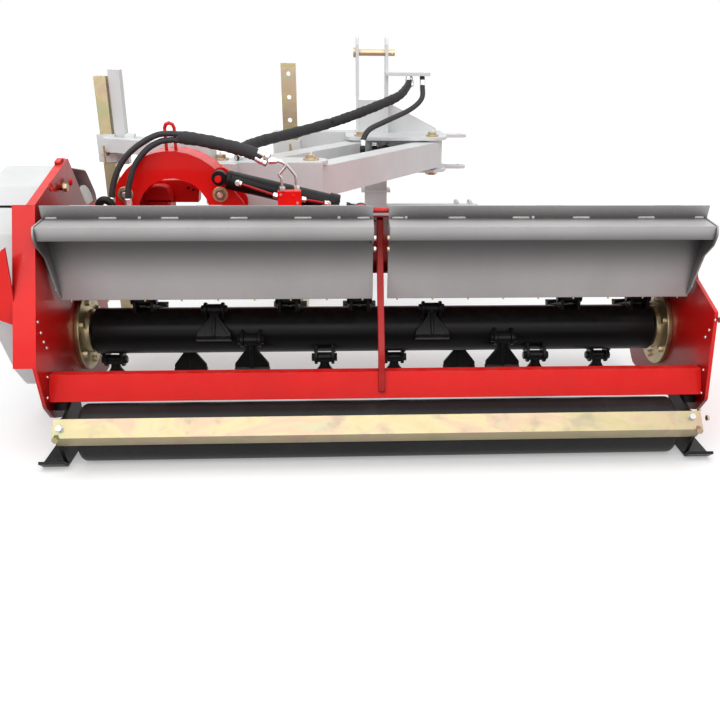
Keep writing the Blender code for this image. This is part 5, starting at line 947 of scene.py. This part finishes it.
def bar_nuts():
    """Nuts at both ends of the scraper bar, on its upper slope, and the spare port's plug."""
    slope = np.array((0.0, -0.762, 0.648))
    fixings("scraper_nuts", "deck", [((x, -0.1225 + (z - 0.1235) * 0.85, z), slope, 0.016, 0.009)
                                     for x, z in ((-0.856, 0.143), (0.848, 0.150))], STEEL)
    spare = SHIFT_BASE + unit(SHIFT_TIP - SHIFT_BASE) * SHIFT_PORTS[0] + (0, 0, CYL_R + 0.0135)
    fixings("spare_port_plug", "shift_barrel", [(spare, Z_AXIS, 0.019, 0.010)])


def outer_nuts():
    """Nuts outside the right plate: the bearing flange's ring, the bracket's and the cross bar's."""
    outside = DECK_HALF + PLATE_T
    seats = [(spot, X_AXIS, 0.017, 0.009) for spot in bolt_ring(outside)]
    seats += [((outside, y, z), X_AXIS, 0.013, 0.007)
              for y, z in ((0.016, 0.241), (0.005, 0.174), (-0.004, 0.398), (0.021, 0.360), (0.037, 0.333),
                           (0.030, 0.112), (-0.030, 0.112))]
    fixings("right_plate_nuts", "deck", seats, ZINC)
    cap = turned([(0.0, 0.036), (0.006, 0.036), (0.0085, 0.033), (0.0085, 0.029), (0.0, 0.029)],
                 (outside, *ROTOR), X_AXIS, 56)
    made("right_hub_ring", Surface().grid(cap, ends=False), "deck", BLACK)


def seams():
    """Weld beads: roof to side plates, mast and gusset to the yoke, posts to the hitch tube."""
    roof = Surface()
    line = [(0.172, 0.6475), (0.34, 0.6135), (0.56, 0.4695), (0.612, 0.3835)]
    for x in (-0.9035, 0.9035):
        for (y0, z0), (y1, z1) in zip(line[:-1], line[1:]):
            share = np.linspace(0.02, 0.98, 12)[:, None]
            weld_bead(roof, np.hstack([np.full((12, 1), x), y0 + (y1 - y0) * share, z0 + (z1 - z0) * share]),
                      0.0032, X_AXIS, 2)
    made("roof_seams", roof, "deck", RED)
    grey = Surface()
    top = YOKE_TOP + 0.0125
    for side in (-1, 1):
        x = 0.015 + side * (0.054 + 0.0135)
        weld_bead(grey, [(x, y, top) for y in np.linspace(1.405, 1.515, 8)], 0.0030, X_AXIS, 3)
    weld_bead(grey, [(x, 1.4400, top) for x in np.linspace(0.085, 0.280, 10)], 0.0030, Y_AXIS, 3)
    for x in (-0.365, 0.030):
        weld_bead(grey, [(x + dx, 1.447, 0.4265) for dx in np.linspace(-0.030, 0.030, 5)], 0.0030, Y_AXIS, 3)
    made("headstock_seams", grey, "headstock", GREY)


def grease_nipples():
    """A grease nipple on each arm pin's head: a hexagon with a ball tip."""
    for end, pivot, body in (("front", FRONT_PIVOT, "headstock"), ("rear", REAR_PIVOT, "carriage")):
        for word, left in (("right", 0), ("left", ARM_SPACING)):
            shape = Surface()
            seat = (*(pivot - (left, 0)), YOKE_TOP + 0.0238)
            hex_nut(shape, seat, Z_AXIS, 0.009, 0.005, False)
            shape.grid(turned([(0.004, 0.0026), (0.0085, 0.0026), (0.0095, 0.0034), (0.0120, 0.0030),
                               (0.0130, 0.0012)], seat, Z_AXIS, 16))
            made(f"grease_nipple_{end}_{word}", shape, body, SILVER_ZINC)


def stay():
    """Centre stay: the bent band from the roof's edge to the cross bar."""
    outline = soft_outline([(0.176, 0.638), (0.170, 0.560), (0.118, 0.440), (0.026, 0.290), (0.0185, 0.2415),
                            (0.0, 0.190), (0.0095, 0.190), (0.0294, 0.2415), (0.052, 0.2415), (0.064, 0.290),
                            (0.148, 0.430), (0.210, 0.560), (0.210, 0.638)],
                           [0, 0.01, 0.02, 0.02, 0.01, 0.004, 0, 0, 0.002, 0.02, 0.02, 0.01, 0], 5)
    # The stay's darker red is painted shade.
    made("centre_stay_dressed", Surface().grid(slab(outline, -0.0090, 0.0090, "X", 0.0016)), "deck",
         RED_DARK_SHADED, node="centre_stay")


stay()
gearbox_top()
outer_nuts()
seams()
grease_nipples()
plate_fixings()
roof_hoop()
flap_fittings()
bar_nuts()


# Stage, light and camera

def camera():
    """The photograph's camera: looking down, a little to the right, and rolled by half a degree."""
    pitch, yaw, roll = (math.radians(a) for a in (PITCH_DEG, YAW_DEG, ROLL_DEG))
    ahead = np.array((math.sin(yaw) * math.cos(pitch), math.cos(yaw) * math.cos(pitch), -math.sin(pitch)))
    right = np.array((math.cos(yaw), -math.sin(yaw), 0.0))
    above = np.cross(right, ahead)
    across = right * math.cos(roll) + above * math.sin(roll)
    upright = above * math.cos(roll) - right * math.sin(roll)
    data = bpy.data.cameras.new("photo_camera")
    data.lens, data.sensor_width = LENS, SENSOR
    data.shift_x = -(PICTURE_MIDDLE - PICTURE / 2) / PICTURE
    data.clip_start, data.clip_end = 0.05, 100
    obj = bpy.data.objects.new("photo_camera", data)
    placed(obj, (across, upright, -ahead), np.array(CAMERA_AT) + SHIFT)
    bpy.context.scene.camera = obj


def floor():
    """Pale floor that glows where it is looked at, more so away from the machine."""
    mesh = bpy.data.meshes.new("floor")
    reach = 14.0
    mesh.from_pydata([(-reach, -reach, 0), (reach, -reach, 0), (reach, reach, 0), (-reach, reach, 0)], [],
                     [(0, 1, 2, 3)])
    obj = bpy.data.objects.new("floor", mesh)
    bpy.context.scene.collection.objects.link(obj)
    obj.location.z = -0.0005
    pale = Finish("pale_floor", Roughness=0.9, Specular_IOR_Level=0.0)
    pale.wear(Base_Color=pale.colour(pale.noise(0.8, 3), (0.80, 0.80, 0.80), (0.84, 0.84, 0.84)))
    away = pale.node("ShaderNodeVectorMath", {"operation": "LENGTH"}, {0: pale.place()}, "Value")
    glow_colour = pale.colour(away.step(1.4, 6.0), (0.30, 0.30, 0.30), (1.0, 1.0, 1.0))
    glow = pale.node("ShaderNodeEmission", inputs={"Color": glow_colour, "Strength": 1.0})
    plain = Value(pale, pale.shader.outputs[0])
    lit = pale.node("ShaderNodeAddShader", inputs={0: plain, 1: glow})
    both = pale.node("ShaderNodeMixShader", inputs={0: pale.seen_directly(), 1: plain, 2: lit})
    pale.tree.links.new(both.socket, pale.tree.nodes["Material Output"].inputs[0])
    mesh.materials.append(pale.material)


def light():
    """A world that looks white and lights faintly, and three soft studio lamps."""
    world = bpy.data.worlds.new("studio")
    bpy.context.scene.world = world
    world.use_nodes = True
    sky = Nodes(world.node_tree)
    background = sky.tree.nodes["Background"]
    sky.feed(background.inputs["Color"], (1.0, 1.0, 1.0))
    sky.feed(background.inputs["Strength"], sky.seen_directly() * (1.0 - SKY_LIGHT) + SKY_LIGHT)
    for name, place, aim, size, power in LAMPS:
        lamp = bpy.data.lights.new(name, "AREA")
        lamp.shape, lamp.size, lamp.size_y, lamp.energy = "RECTANGLE", *size, power
        back, first, second = square_to(np.array(place) - np.array(aim))
        placed(bpy.data.objects.new(name, lamp), (first, second, back), place)


camera()
floor()
light()
bpy.context.scene.view_settings.view_transform = "Standard"
